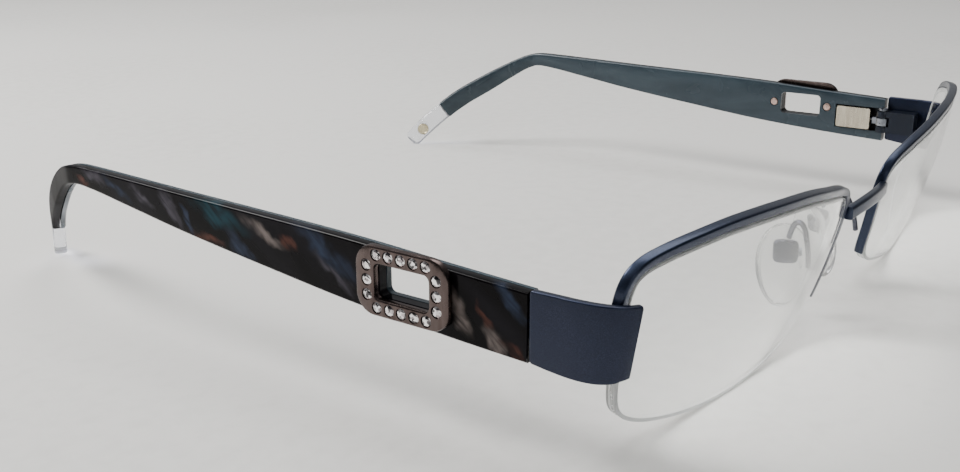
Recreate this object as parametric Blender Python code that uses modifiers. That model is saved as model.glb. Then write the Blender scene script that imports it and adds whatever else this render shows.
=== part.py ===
"""Semi-rimless eyeglasses on sprung hinges, as an assembly of separate pieces, in metres.

+X is the wearer's left, -Y is the front and +Z is up.  The glasses stand open on a table at
z = 0, on the lower edges of the lenses and on the tips of the temples.  The left half is
modelled piece by piece and each piece is then mirrored to the right, across x = 0.

Each lens is cut from a spherical blank, and everything on the front follows its surface.  Lens
work is done in the lens's own frame: u runs from nose to temple, v runs up, and depth runs
back from the front surface.  Hinge and temple work is done in the temple's own frame: its
origin is on the hinge axis, x points outwards, y runs back along the temple and z is height.
"""
import math

import bmesh
import bpy
from mathutils import Euler, Matrix, Vector

# ---- overall sizes ----
FRAME_WIDTH = 0.1400          # over the outer faces of the temples at the hinges
HINGE_Y = -0.0474             # the hinge axes, forward of the middle of the depth
HINGE_Z = 0.0167              # mid height of the hinge
BEND_LENGTH = 0.0855          # hinge to the bend over the ear
TUCK_RUN = 0.0283             # bend to tip along y, over which the tip comes in
TIP_TUCK = 0.0142             # how far the tip comes in past the bend

# ---- lens ----
LENS_RADIUS = 0.0950          # front curve
LENS_THICKNESS = 0.0016
LENS_INSET = 0.0318           # lens centre, inboard of the outer face of the temple
LENS_CENTRE_Z = 0.01260
LENS_FORWARD = 0.0166         # lens vertex, forward of the hinge axis
FACE_WRAP = math.radians(6.1)
FRAME_TILT = math.radians(14.6)
GROOVE_DEPTH = 0.00075
GROOVE_WIDTH = 0.0008

# Lens outline in its own frame, in millimetres.  The brow rim holds the first list, from its
# temple end over the brow to the foot of the nasal bar; the cord holds the second.
RIM_OUTLINE = [(27.8, -0.3), (28.6, 5.3), (28.4, 8.9), (27.2, 10.8), (24.5, 12.0), (19.7, 13.1),
               (12.8, 14.0), (4.4, 14.1), (-5.0, 13.4), (-13.5, 11.8), (-20.5, 10.0),
               (-26.1, 7.5), (-27.4, 3.9), (-26.3, -2.2), (-24.4, -7.7)]
CORD_OUTLINE = [(-20.7, -10.7), (-13.8, -12.3), (-5.8, -13.1), (1.3, -13.3), (9.3, -13.1),
                (16.8, -12.2), (22.0, -10.8), (25.2, -8.7), (26.9, -5.1)]
MM = 0.001
OUTLINE_STEPS = 2             # points on the smooth outline for each listed point

# ---- rim, liner, cord ----
RIM_HEIGHT = 0.0012           # measured out from the lens
RIM_DEPTH = 0.0015            # front to back
RIM_CHANNEL = 0.00035
STRAND = 0.0005               # liner and cord, square strands
FIT = 0.00025                 # gap between pieces that touch

# ---- endpiece, hinge ----
PLATE_THICKNESS = 0.0010
PLATE_HEIGHT = 0.0090
PLATE_LEAN = 0.16             # how far the front edge follows the tilt of the lens
END_GAP = 0.00015             # each side of the hinge line
BARREL_RADIUS = 0.00125
BARREL_HEIGHT = 0.0044
EYE_HEIGHT = 0.0015
EYE_GAP = 0.0002
SCREW_RADIUS = 0.0006
SCREW_FIT = 0.0001
SCREW_HEAD_RADIUS = 0.0009
SCREW_HEAD_HEIGHT = 0.0004
LEAF_LENGTH = 0.0050
LEAF_SEAT = 0.0014            # outer side of the leaf, inboard of the outer face

# ---- temple ----
SHELL_THICKNESS = 0.00125     # marbled outer layer
LINING_THICKNESS = 0.00085
GLUE_LINE = 0.0002
INNER_FACE = 0.0011           # inner face of the temple, outboard of the hinge axis
SPLAY_IN = 0.0016             # how far the temple comes in between hinge and bend
EDGE_CHAMFER = 0.0003
TIP_FROM = 0.0213             # where the clear tip starts, measured back from the bend
# Side view of the temple in millimetres.  Front and rear of the bar: distance behind the hinge or
# behind the bend, rise of its middle above the hinge, half its height.
BAR_FRONT = [(0.0, 0.0, 4.40), (12.3, 0.55, 4.40), (25.8, 1.35, 4.30), (37.3, 2.10, 3.90)]
BAR_REAR = [(-28.2, 3.45, 2.95), (-15.5, 4.50, 2.20), (-6.5, 5.25, 1.65), (-1.2, 5.40, 1.45)]
# The drop behind the ear: distance behind the bend, height of its middle above the table as a
# share of the bend's, half its width.
DROP = [(2.5, 0.9593, 1.50), (6.8, 0.8552, 1.75), (11.5, 0.7217, 2.00), (17.3, 0.5498, 2.10),
        (21.8, 0.3756, 2.10), (25.5, 0.2059, 2.10), (28.1, 0.0656, 2.00)]
TEMPLE_STEPS = 2

# ---- spring housing ----
HOUSING_START = 0.0028
HOUSING_LENGTH = 0.0070
HOUSING_PROUD = 0.00045
HOUSING_THICKNESS = 0.0018
HOUSING_WALL = 0.00025
HOUSING_NOSE = 0.0009
SHANK_RADIUS = 0.00022
SHANK_HEAD_RADIUS = 0.00048
SPRING_COIL_RADIUS = 0.00042
SPRING_WIRE_RADIUS = 0.00008
SPRING_TURNS = 5

# ---- buckle ----
PIN_LAND = 0.0023             # from the end of the spring housing to the front pin
WINDOW_RISE = 0.0015          # middle of the window, above the hinge
WINDOW_LENGTH = 0.0086
WINDOW_HEIGHT = 0.0046
WINDOW_CORNER = 0.0008
BUCKLE_BAR = 0.0030           # width of the bars fore and aft
BUCKLE_RAIL = 0.00235         # width of the rails above and below
BUCKLE_THICKNESS = 0.00095
BUCKLE_CORNER = 0.0028
CRYSTAL_RADIUS = 0.00066
SEAT_FIT = 0.00012
CHANNEL_DEPTH = 0.00035       # the glue channel in the back of the buckle
CHANNEL_WIDTH = 0.0010
CRYSTALS_ALONG = 5            # in each rail
CRYSTALS_UP = 3               # in each bar
CRYSTAL_PITCH = 0.00195       # between neighbours
PIN_RADIUS = 0.00060
PIN_HEAD_RADIUS = 0.00078
PIN_HEAD_HEIGHT = 0.0004
PIN_FIT = 0.00015

# ---- tip disc ----
DISC_RADIUS = 0.00140
DISC_THICKNESS = 0.0004
DISC_BACK = 0.0048            # disc centre, measured from the start of the clear tip

# ---- bridge and nose pads ----
BRIDGE_LAND = 0.0296          # from the lens centre to the end of the bridge
BRIDGE_RISE = 0.0056          # ends of the bridge, above the lens centre
BRIDGE_ARCH = 0.0006          # rise at the middle
BRIDGE_BOW = 0.0009           # how far the middle stands forward of the ends
BRIDGE_SECTION = (0.0014, 0.0021)
PAD_PLACE = (0.0289, 0.0084, 0.0018)   # pad screw: noseward of, behind and below the lens centre
PAD_SPLAY = math.radians(24)
PAD_FLARE = math.radians(12)
PAD_HALF = (0.0011, 0.0042, 0.0066)
PAD_OUT = 0.0025              # pad middle, noseward of the screw
PAD_DROP = 0.0025
BOX_SIZE = (0.0020, 0.0038, 0.0036)
BOX_WALL = 0.0005
TAB_SIZE = (0.0010, 0.0012, 0.0016)
PAD_SCREW_RADIUS = 0.00035
ARM_RADIUS = 0.00042
# The pad arm's route in millimetres, outboard of, forward of and above the pad's screw.
ARM_ROUTE = [(2.1, 4.3, -1.2), (1.8, 4.0, 0.8), (1.4, 3.4, 3.0), (0.9, 2.7, 4.6),
             (0.5, 1.8, 5.1), (0.2, 0.9, 4.3), (0.0, 0.3, 2.2)]

# ---- worked out from the sizes above ----
THICKNESS = SHELL_THICKNESS + GLUE_LINE + LINING_THICKNESS
OUTER_FACE = INNER_FACE + THICKNESS
PIVOT_X = FRAME_WIDTH / 2 - OUTER_FACE
SPLAY = math.atan2(SPLAY_IN, BEND_LENGTH)
GROOVE_MIDDLE = LENS_THICKNESS / 2
LENS_CENTRE_X = FRAME_WIDTH / 2 - LENS_INSET
HOUSING_HEIGHT = BARREL_HEIGHT          # both are cut from the same bar
PIN_REACH = (WINDOW_LENGTH + BUCKLE_BAR) / 2
WINDOW_Y = HOUSING_START + HOUSING_LENGTH + PIN_LAND + PIN_REACH
WINDOW_Z = HINGE_Z + WINDOW_RISE
PIN_PLACES = (WINDOW_Y - PIN_REACH, WINDOW_Y + PIN_REACH)
BRIDGE_HALF = LENS_CENTRE_X - BRIDGE_LAND
BRIDGE_Z = LENS_CENTRE_Z + BRIDGE_RISE
PAD_POINT = (LENS_CENTRE_X - PAD_PLACE[0], LENS_FORWARD - PAD_PLACE[1], LENS_CENTRE_Z - PAD_PLACE[2])

for old in list(bpy.data.objects):
    bpy.data.objects.remove(old, do_unlink=True)

PARTS = bpy.data.collections.new("eyeglasses")
CUTTERS = bpy.data.collections.new("cutters")
bpy.context.scene.collection.children.link(PARTS)
bpy.context.scene.collection.children.link(CUTTERS)


# ---- helpers ----
def material(name, colour, metallic=0.0, roughness=0.4, transmission=0.0):
    """A plain Principled material."""
    made = bpy.data.materials.new(name)
    made.use_nodes = True
    shader = made.node_tree.nodes["Principled BSDF"]
    shader.inputs["Base Color"].default_value = (*colour, 1.0)
    shader.inputs["Metallic"].default_value = metallic
    shader.inputs["Roughness"].default_value = roughness
    shader.inputs["Transmission Weight"].default_value = transmission
    return made


NAVY = material("navy_paint", (0.020, 0.045, 0.105), 0.6, 0.35)
CLEAR = material("clear_lens", (0.95, 0.97, 0.97), 0.0, 0.05, 0.9)
NYLON = material("clear_nylon", (0.85, 0.86, 0.84), 0.0, 0.3, 0.6)
STEEL = material("hinge_steel", (0.30, 0.32, 0.36), 1.0, 0.35)
MARBLE = material("marbled_acetate", (0.060, 0.045, 0.045), 0.0, 0.15)
TEAL = material("teal_acetate", (0.030, 0.060, 0.085), 0.0, 0.25)
CHAMPAGNE = material("champagne_plate", (0.62, 0.55, 0.42), 1.0, 0.3)
GUNMETAL = material("gunmetal", (0.27, 0.24, 0.22), 1.0, 0.25)
CRYSTAL = material("crystal", (0.95, 0.95, 1.0), 0.0, 0.02, 0.8)
COPPER = material("copper_pin", (0.60, 0.38, 0.30), 1.0, 0.35)
SILICONE = material("clear_pad", (0.90, 0.91, 0.90), 0.0, 0.15, 0.7)


def add(name, mesh, finish, parent=None, location=(0, 0, 0), rotation=(0, 0, 0)):
    """Put a mesh or curve in the model as one named piece."""
    piece = bpy.data.objects.new(name, mesh)
    piece.data.materials.append(finish)
    PARTS.objects.link(piece)
    piece.parent = parent
    piece.location = location
    piece.rotation_euler = rotation
    return piece


def add_empty(name, location, rotation=(0, 0, 0)):
    """An axis or datum that pieces are placed on."""
    datum = bpy.data.objects.new(name, None)
    datum.empty_display_size = 0.004
    PARTS.objects.link(datum)
    datum.location = location
    datum.rotation_euler = rotation
    return datum


def place_matrix(piece):
    """World matrix of an object, worked out from its own and its parents' placing."""
    own = Matrix.LocRotScale(piece.location, piece.rotation_euler, piece.scale)
    return place_matrix(piece.parent) @ own if piece.parent else own


def box_mesh(low, high):
    """A box between two corners."""
    mesh = bpy.data.meshes.new("box")
    shape = bmesh.new()
    bmesh.ops.create_cube(shape, size=1.0)
    size = Vector(high) - Vector(low)
    middle = (Vector(high) + Vector(low)) / 2
    for vert in shape.verts:
        vert.co = Vector([vert.co[i] * size[i] + middle[i] for i in range(3)])
    shape.to_mesh(mesh)
    shape.free()
    return mesh


def rod_mesh(radius, low, high, axis="Z", centre=(0, 0, 0), sides=16, top_radius=None):
    """A round bar along one axis, from low to high, beside the given centre."""
    mesh = bpy.data.meshes.new("rod")
    shape = bmesh.new()
    bmesh.ops.create_cone(shape, cap_ends=True, segments=sides, radius1=radius,
                          radius2=radius if top_radius is None else top_radius,
                          depth=high - low)
    turn = {"Z": Matrix(), "Y": Matrix.Rotation(-math.pi / 2, 4, "X"),
            "X": Matrix.Rotation(math.pi / 2, 4, "Y")}[axis]
    lift = Matrix.Translation((0, 0, (low + high) / 2))
    bmesh.ops.transform(shape, matrix=Matrix.Translation(centre) @ turn @ lift, verts=shape.verts)
    shape.to_mesh(mesh)
    shape.free()
    return mesh


def cutter(name, mesh, parent=None, location=(0, 0, 0), rotation=(0, 0, 0)):
    """A hidden shape that other pieces are cut or joined with."""
    tool = bpy.data.objects.new(name, mesh)
    CUTTERS.objects.link(tool)
    tool.parent = parent
    tool.location = location
    tool.rotation_euler = rotation
    tool.hide_render = True
    tool.display_type = "WIRE"
    return tool


def boolean(piece, tool, operation="DIFFERENCE"):
    """Cut, join or intersect a piece with a hidden tool."""
    step = piece.modifiers.new(tool.name, "BOOLEAN")
    step.operation = operation
    step.object = tool
    step.solver = "EXACT"
    return step


def bevel(piece, width, segments=2, angle=40):
    """Round the sharp edges."""
    step = piece.modifiers.new("rounded edges", "BEVEL")
    step.width = width
    step.segments = segments
    step.limit_method = "ANGLE"
    step.angle_limit = math.radians(angle)
    return step


def curve_to_mesh(guide):
    """Turn a curve object into a closed mesh and remove the curve."""
    bpy.context.view_layer.update()
    ready = guide.evaluated_get(bpy.context.evaluated_depsgraph_get())
    mesh = bpy.data.meshes.new_from_object(ready)
    shape = bmesh.new()
    shape.from_mesh(mesh)
    bmesh.ops.remove_doubles(shape, verts=shape.verts, dist=1e-6)
    bmesh.ops.recalc_face_normals(shape, faces=shape.faces)
    shape.to_mesh(mesh)
    shape.free()
    bpy.data.objects.remove(guide, do_unlink=True)
    return mesh


def poly_curve(points, cyclic=False, flat=False):
    """A curve of straight steps through the points."""
    guide = bpy.data.curves.new("guide", "CURVE")
    guide.dimensions = "2D" if flat else "3D"
    line = guide.splines.new("POLY")
    line.points.add(len(points) - 1)
    for spot, point in zip(line.points, points):
        spot.co = (*point, 1.0) if len(point) == 3 else (*point, 0.0, 1.0)
    line.use_cyclic_u = cyclic
    return guide


def sweep_mesh(points, section, cyclic=False):
    """A bar of constant section, given as (across, depth) points, carried along a path."""
    outline = poly_curve(section, cyclic=True, flat=True)
    outline.fill_mode = "NONE"
    profile = bpy.data.objects.new("section", outline)
    CUTTERS.objects.link(profile)
    guide = poly_curve(points, cyclic=cyclic)
    guide.twist_mode = "Z_UP"
    guide.bevel_mode = "OBJECT"
    guide.bevel_object = profile
    guide.use_fill_caps = not cyclic
    holder = bpy.data.objects.new("guide", guide)
    CUTTERS.objects.link(holder)
    mesh = curve_to_mesh(holder)
    bpy.data.objects.remove(profile, do_unlink=True)
    return mesh


def slab_mesh(outlines, thickness, edge=0.0):
    """A flat plate, filled between its outlines, with edges rounded by edge."""
    guide = poly_curve(outlines[0], cyclic=True, flat=True)
    for outline in outlines[1:]:
        line = guide.splines.new("POLY")
        line.points.add(len(outline) - 1)
        for spot, point in zip(line.points, outline):
            spot.co = (*point, 0.0, 1.0)
        line.use_cyclic_u = True
    guide.fill_mode = "BOTH"
    guide.extrude = thickness / 2 - edge
    guide.bevel_depth = edge
    guide.bevel_resolution = 0
    guide.offset = -edge
    holder = bpy.data.objects.new("slab", guide)
    CUTTERS.objects.link(holder)
    return curve_to_mesh(holder)


def wire_mesh(points, radius, resolution=2):
    """A round wire with closed ends."""
    guide = poly_curve(points)
    guide.bevel_depth = radius
    guide.bevel_resolution = resolution
    guide.use_fill_caps = True
    holder = bpy.data.objects.new("wire", guide)
    CUTTERS.objects.link(holder)
    return curve_to_mesh(holder)


def smooth_line(points, steps, cyclic=False):
    """A Catmull-Rom curve through the points, with steps spans between neighbours."""
    count = len(points)
    spans = count if cyclic else count - 1
    result = []
    for i in range(spans):
        picks = [i - 1, i, i + 1, i + 2]
        if cyclic:
            a, b, c, d = [Vector(points[k % count]) for k in picks]
        else:
            a, b, c, d = [Vector(points[min(max(k, 0), count - 1)]) for k in picks]
        for j in range(steps):
            t = j / steps
            result.append(0.5 * (2 * b + (c - a) * t + (2 * a - 5 * b + 4 * c - d) * t ** 2
                                 + (3 * b - a - 3 * c + d) * t ** 3))
    if not cyclic:
        result.append(Vector(points[-1]))
    return result


def rounded_box(length, height, corner, steps=4):
    """Outline of a rectangle with round corners, about its middle, anticlockwise."""
    points = []
    for quarter in range(4):
        sx = (1, -1, -1, 1)[quarter]
        sy = (1, 1, -1, -1)[quarter]
        for step in range(steps + 1):
            angle = (quarter + step / steps) * math.pi / 2
            points.append((sx * (length / 2 - corner) + corner * math.cos(angle),
                           sy * (height / 2 - corner) + corner * math.sin(angle)))
    return points


def join_meshes(meshes):
    """Several separate bodies as one mesh, for use as a cutter."""
    shape = bmesh.new()
    for mesh in meshes:
        shape.from_mesh(mesh)
    joined = bpy.data.meshes.new("joined")
    shape.to_mesh(joined)
    shape.free()
    return joined


# ---- the front: lens frame ----
OUTLINE = [Vector(p) * MM for p in smooth_line(RIM_OUTLINE + CORD_OUTLINE, OUTLINE_STEPS, True)]
RIM_COUNT = (len(RIM_OUTLINE) - 1) * OUTLINE_STEPS + 1


def outward(i):
    """Outward normal of the lens outline at one of its points."""
    ahead = OUTLINE[(i + 1) % len(OUTLINE)]
    behind = OUTLINE[i - 1]
    along = (ahead - behind).normalized()
    return Vector((along.y, -along.x))


def on_lens(u, v, depth):
    """A point of the lens frame, so far behind the spherical front surface."""
    reach = u * u + v * v
    sag = LENS_RADIUS - math.sqrt(LENS_RADIUS ** 2 - reach)
    return Vector((u, v, -sag - depth))


def edge_point(i, out, depth):
    """A point beside the lens edge: so far out from it, and so far back."""
    spot = OUTLINE[i % len(OUTLINE)] - outward(i % len(OUTLINE)) * out
    return on_lens(spot.x, spot.y, depth)


def edge_path(first, last, out):
    """A path along the lens edge, at the depth of its groove."""
    return [edge_point(i, out, GROOVE_MIDDLE) for i in range(first, last + 1)]


lens_frame = add_empty("left_lens_frame", (LENS_CENTRE_X, HINGE_Y - LENS_FORWARD, LENS_CENTRE_Z),
                       (math.pi / 2 + FRAME_TILT, 0, FACE_WRAP))


def build_lens():
    """A spherical blank, cut to the outline, with a groove round its edge."""
    blank = bpy.data.meshes.new("lens_blank")
    rings = 4
    reach = 0.0345
    front = [on_lens(reach * k / rings, 0, 0) for k in range(rings + 1)]
    back = [on_lens(reach * k / rings, 0, LENS_THICKNESS) for k in range(rings, -1, -1)]
    profile = front + back
    blank.from_pydata([tuple(p) for p in profile], [(k, k + 1) for k in range(len(profile) - 1)], [])
    lens = add("left_lens", blank, CLEAR, lens_frame)
    turned = lens.modifiers.new("turned blank", "SCREW")
    turned.axis = "Z"
    turned.steps = 28
    turned.render_steps = 28
    turned.use_merge_vertices = True
    turned.merge_threshold = 1e-6
    shape = slab_mesh([[(p.x, p.y) for p in OUTLINE]], 0.04)
    boolean(lens, cutter("lens_outline", shape, lens_frame), "INTERSECT")
    half = GROOVE_WIDTH / 2
    groove = [(-GROOVE_DEPTH, -half), (FIT * 2, -half), (FIT * 2, half), (-GROOVE_DEPTH, half)]
    path = [edge_point(i, 0.0, GROOVE_MIDDLE) for i in range(len(OUTLINE))]
    boolean(lens, cutter("lens_groove", sweep_mesh(path, groove, cyclic=True), lens_frame))
    return lens


def build_rim():
    """The brow rim: a bar with a channel on its inner side for the liner."""
    near = FIT
    far = FIT + RIM_HEIGHT
    floor = FIT + RIM_CHANNEL
    half = RIM_DEPTH / 2
    slot = GROOVE_WIDTH / 2
    section = [(near, -half), (far, -half), (far, half), (near, half), (near, slot),
               (floor, slot), (floor, -slot), (near, -slot)]
    return add("left_brow_rim", sweep_mesh(edge_path(0, RIM_COUNT - 1, 0.0), section), NAVY,
               lens_frame)


def strand(name, first, last, middle):
    """A square nylon strand that lies in the lens groove."""
    half = STRAND / 2
    section = [(middle - half, -half), (middle + half, -half), (middle + half, half),
               (middle - half, half)]
    return add(name, sweep_mesh(edge_path(first, last, 0.0), section), NYLON, lens_frame)


# ---- the endpiece: a bent plate ----
# Plan of the plate's middle in millimetres: x from the outer face of the temple; distance forward
# of the hinge axis, or behind the lens vertex; how far its lower edge drops below the temple's.
PLATE_SIDE = [(-0.5, 0.15, 0.0), (-0.5, 3.2, 0.4), (-0.5, 6.0, 0.6)]
PLATE_WRAP = [(-0.75, 8.2, 0.6), (-1.35, 6.3, 0.4), (-2.2, 5.25, 0.1), (-3.1, 4.7, 0.0)]


def build_endpiece():
    """A plate that wraps from the hinge line round in front of the lens's outer edge."""
    wrap = [(x, LENS_FORWARD / MM - behind, drop) for x, behind, drop in PLATE_WRAP]
    plan = smooth_line(PLATE_SIDE + wrap, 2)
    rows = 3
    mesh = bpy.data.meshes.new("plate")
    shape = bmesh.new()
    bmesh.ops.create_grid(shape, x_segments=len(plan) - 1, y_segments=rows, size=0.5)
    top = HINGE_Z + PLATE_HEIGHT / 2 + 0.00025
    for vert in shape.verts:
        index = round((vert.co.x + 0.5) * (len(plan) - 1))
        rise = vert.co.y + 0.5
        x, forward, drop = plan[index] * MM
        height = PLATE_HEIGHT + drop
        z = top - height * (1 - rise)
        lean = PLATE_LEAN * (index / (len(plan) - 1)) ** 2
        vert.co = Vector((FRAME_WIDTH / 2 + x, HINGE_Y - forward - lean * (z - HINGE_Z), z))
    bmesh.ops.recalc_face_normals(shape, faces=shape.faces)
    shape.to_mesh(mesh)
    shape.free()
    plate = add("left_endpiece", mesh, NAVY)
    wall = plate.modifiers.new("plate thickness", "SOLIDIFY")
    wall.thickness = PLATE_THICKNESS
    wall.offset = 0.0
    bevel(plate, 0.00015, 1, 60)
    return plate


# ---- hinge frame: the fold axis ----
hinge_frame = add_empty("left_hinge_axis", (PIVOT_X, HINGE_Y, 0), (0, 0, SPLAY))
KNUCKLE_LOW = HINGE_Z - BARREL_HEIGHT / 2
KNUCKLE_HIGH = HINGE_Z + BARREL_HEIGHT / 2
SLOT_HALF = EYE_HEIGHT / 2 + EYE_GAP
SHANK_X = INNER_FACE - HOUSING_PROUD + HOUSING_THICKNESS / 2


def build_hinge_leaf():
    """The fixed leaf: a block on the back of the endpiece with two knuckles."""
    gap = BARREL_RADIUS + FIT
    leaf = add("left_hinge_leaf",
               box_mesh((-0.0009, -gap - LEAF_LENGTH, KNUCKLE_LOW),
                        (OUTER_FACE - LEAF_SEAT, -gap, KNUCKLE_HIGH)),
               NAVY, hinge_frame)
    for label, low, high in (("lower", KNUCKLE_LOW, HINGE_Z - SLOT_HALF),
                             ("upper", HINGE_Z + SLOT_HALF, KNUCKLE_HIGH)):
        arm = box_mesh((-0.0009, -gap - 0.0003, low), (0.00115, 0.0, high))
        boolean(leaf, cutter("leaf_arm_" + label, arm, hinge_frame), "UNION")
        barrel = rod_mesh(BARREL_RADIUS, low, high, sides=20)
        boolean(leaf, cutter("leaf_barrel_" + label, barrel, hinge_frame), "UNION")
    hole = rod_mesh(SCREW_RADIUS + SCREW_FIT, KNUCKLE_LOW - 0.001, KNUCKLE_HIGH + 0.001)
    boolean(leaf, cutter("leaf_bore", hole, hinge_frame))
    return leaf


def build_hinge_screw():
    """The screw that is the fold axis."""
    screw = add("left_hinge_screw",
                rod_mesh(SCREW_RADIUS, KNUCKLE_LOW + 0.0001, KNUCKLE_HIGH + 0.0003), STEEL,
                hinge_frame)
    low = KNUCKLE_HIGH + 0.00015
    head = rod_mesh(SCREW_HEAD_RADIUS, low, low + SCREW_HEAD_HEIGHT, sides=20)
    boolean(screw, cutter("screw_head", head, hinge_frame), "UNION")
    slot = box_mesh((-0.0015, -0.00012, low + SCREW_HEAD_HEIGHT / 2), (0.0015, 0.00012, low + 0.001))
    boolean(screw, cutter("screw_slot", slot, hinge_frame))
    return screw


def build_hinge_eye():
    """The moving eye: a knuckle on a shank that the spring pulls back into its housing."""
    low = HINGE_Z - EYE_HEIGHT / 2
    high = HINGE_Z + EYE_HEIGHT / 2
    eye = add("left_hinge_eye", rod_mesh(BARREL_RADIUS, low, high, sides=20), STEEL, hinge_frame)
    neck = box_mesh((0.0001, 0.0006, low + 0.0001), (0.0020, 0.0021, high - 0.0001))
    boolean(eye, cutter("eye_neck", neck, hinge_frame), "UNION")
    boolean(eye, cutter("eye_bore", rod_mesh(SCREW_RADIUS + SCREW_FIT, low - 0.001, high + 0.001),
                        hinge_frame))
    tail = HOUSING_START + HOUSING_LENGTH - 0.0008
    shank = rod_mesh(SHANK_RADIUS, 0.0018, tail, "Y", (SHANK_X, 0, HINGE_Z), 12)
    boolean(eye, cutter("eye_shank", shank, hinge_frame), "UNION")
    head = rod_mesh(SHANK_HEAD_RADIUS, tail - 0.0006, tail + 0.0001, "Y", (SHANK_X, 0, HINGE_Z), 12)
    boolean(eye, cutter("eye_head", head, hinge_frame), "UNION")
    return eye


def build_hinge_spring():
    """The coil round the shank, between the housing's nose and the shank's head."""
    start = HOUSING_START + HOUSING_NOSE + SPRING_WIRE_RADIUS + 0.0001
    end = HOUSING_START + HOUSING_LENGTH - 0.0014 - SPRING_WIRE_RADIUS - 0.0001
    count = SPRING_TURNS * 8
    points = []
    for k in range(count + 1):
        angle = 2 * math.pi * SPRING_TURNS * k / count
        points.append((SHANK_X + SPRING_COIL_RADIUS * math.cos(angle),
                       start + (end - start) * k / count,
                       HINGE_Z + SPRING_COIL_RADIUS * math.sin(angle)))
    return add("left_hinge_spring", wire_mesh(points, SPRING_WIRE_RADIUS, 1), STEEL, hinge_frame)


def build_spring_housing():
    """The box let into the temple's inner face, its cover standing a little proud."""
    x_low = INNER_FACE - HOUSING_PROUD
    x_high = x_low + HOUSING_THICKNESS
    y_low = HOUSING_START
    y_high = HOUSING_START + HOUSING_LENGTH
    z_low = HINGE_Z - HOUSING_HEIGHT / 2
    housing = add("left_spring_housing",
                  box_mesh((x_low, y_low, z_low), (x_high, y_high, z_low + HOUSING_HEIGHT)),
                  CHAMPAGNE, hinge_frame)
    cavity = box_mesh((x_low + HOUSING_WALL, y_low + HOUSING_NOSE, HINGE_Z - 0.0009),
                      (x_high - HOUSING_WALL, y_high + 0.001, HINGE_Z + 0.0009))
    boolean(housing, cutter("housing_cavity", cavity, hinge_frame))
    bore = rod_mesh(SHANK_RADIUS + SEAT_FIT, y_low - 0.001, y_low + HOUSING_NOSE + 0.0005, "Y",
                    (SHANK_X, 0, HINGE_Z), 12)
    boolean(housing, cutter("housing_bore", bore, hinge_frame))
    return housing


# ---- temple: lofted layers ----
def temple_stations():
    """Places along the temple: outer-face point, outward, upward, and half height."""
    hinge = HINGE_Z / MM
    bend = BEND_LENGTH / MM
    crown = hinge + BAR_REAR[-1][1]
    points = [(y, hinge + rise, half) for y, rise, half in BAR_FRONT]
    points += [(bend + y, hinge + rise, half) for y, rise, half in BAR_REAR]
    points += [(bend + y, crown * share, half) for y, share, half in DROP]
    line = [p * MM for p in smooth_line(points, TEMPLE_STEPS)]
    turn = math.cos(SPLAY)

    def plan(y):
        past = max(y - BEND_LENGTH, 0.0) / TUCK_RUN
        return OUTER_FACE - TIP_TUCK * past ** 1.3 * turn

    stations = []
    for i, (y, z, half) in enumerate(line):
        before = line[max(i - 1, 0)]
        after = line[min(i + 1, len(line) - 1)]
        run = after[0] - before[0]
        along = Vector((plan(after[0]) - plan(before[0]), run, after[1] - before[1])).normalized()
        if i == 0:
            along = Vector((0, 1, 0))
        out = Vector((along.y, -along.x, 0)).normalized()
        up = out.cross(along)
        stations.append((Vector((plan(y), y, z)), out, up, half))
    return stations


STATIONS = temple_stations()


def trimmed(first_y, last_y):
    """The stations between two places, with new ones made at the ends."""
    def at(y):
        for (pa, oa, ua, ha), (pb, ob, ub, hb) in zip(STATIONS, STATIONS[1:]):
            if pa.y <= y <= pb.y:
                t = (y - pa.y) / (pb.y - pa.y)
                return (pa.lerp(pb, t), oa.lerp(ob, t), ua.lerp(ub, t), ha + (hb - ha) * t)
        return STATIONS[-1]

    inside = [s for s in STATIONS if first_y + 0.0004 < s[0].y < last_y - 0.0004]
    return [at(first_y)] + inside + [at(last_y)]


def loft_mesh(stations, section):
    """Skin over rings; section gives (depth from the outer face, height as a signed share)."""
    shape = bmesh.new()
    rings = []
    for point, out, up, half in stations:
        ring = []
        for depth, side, trim in section:
            ring.append(shape.verts.new(point - out * depth + up * side * (half - trim)))
        rings.append(ring)
    count = len(section)
    for a, b in zip(rings, rings[1:]):
        for k in range(count):
            shape.faces.new((a[k], a[(k + 1) % count], b[(k + 1) % count], b[k]))
    shape.faces.new(rings[0][::-1])
    shape.faces.new(rings[-1])
    bmesh.ops.recalc_face_normals(shape, faces=shape.faces)
    mesh = bpy.data.meshes.new("loft")
    shape.to_mesh(mesh)
    shape.free()
    return mesh


def temple_layer(name, near, far, finish, y_end):
    """One layer of the temple, with chamfered edges on the side that shows."""
    c = EDGE_CHAMFER
    if near == 0.0:
        section = [(c, 1, 0), (far, 1, 0), (far, -1, 0), (c, -1, 0), (0, -1, c), (0, 1, c)]
    else:
        section = [(near, 1, 0), (far - c, 1, 0), (far, 1, c), (far, -1, c), (far - c, -1, 0),
                   (near, -1, 0)]
    return add(name, loft_mesh(trimmed(END_GAP, y_end), section), finish, hinge_frame)


ON_TEMPLE = Euler((math.pi / 2, 0, math.pi / 2))     # flat work: x back, y up, z outwards


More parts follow.
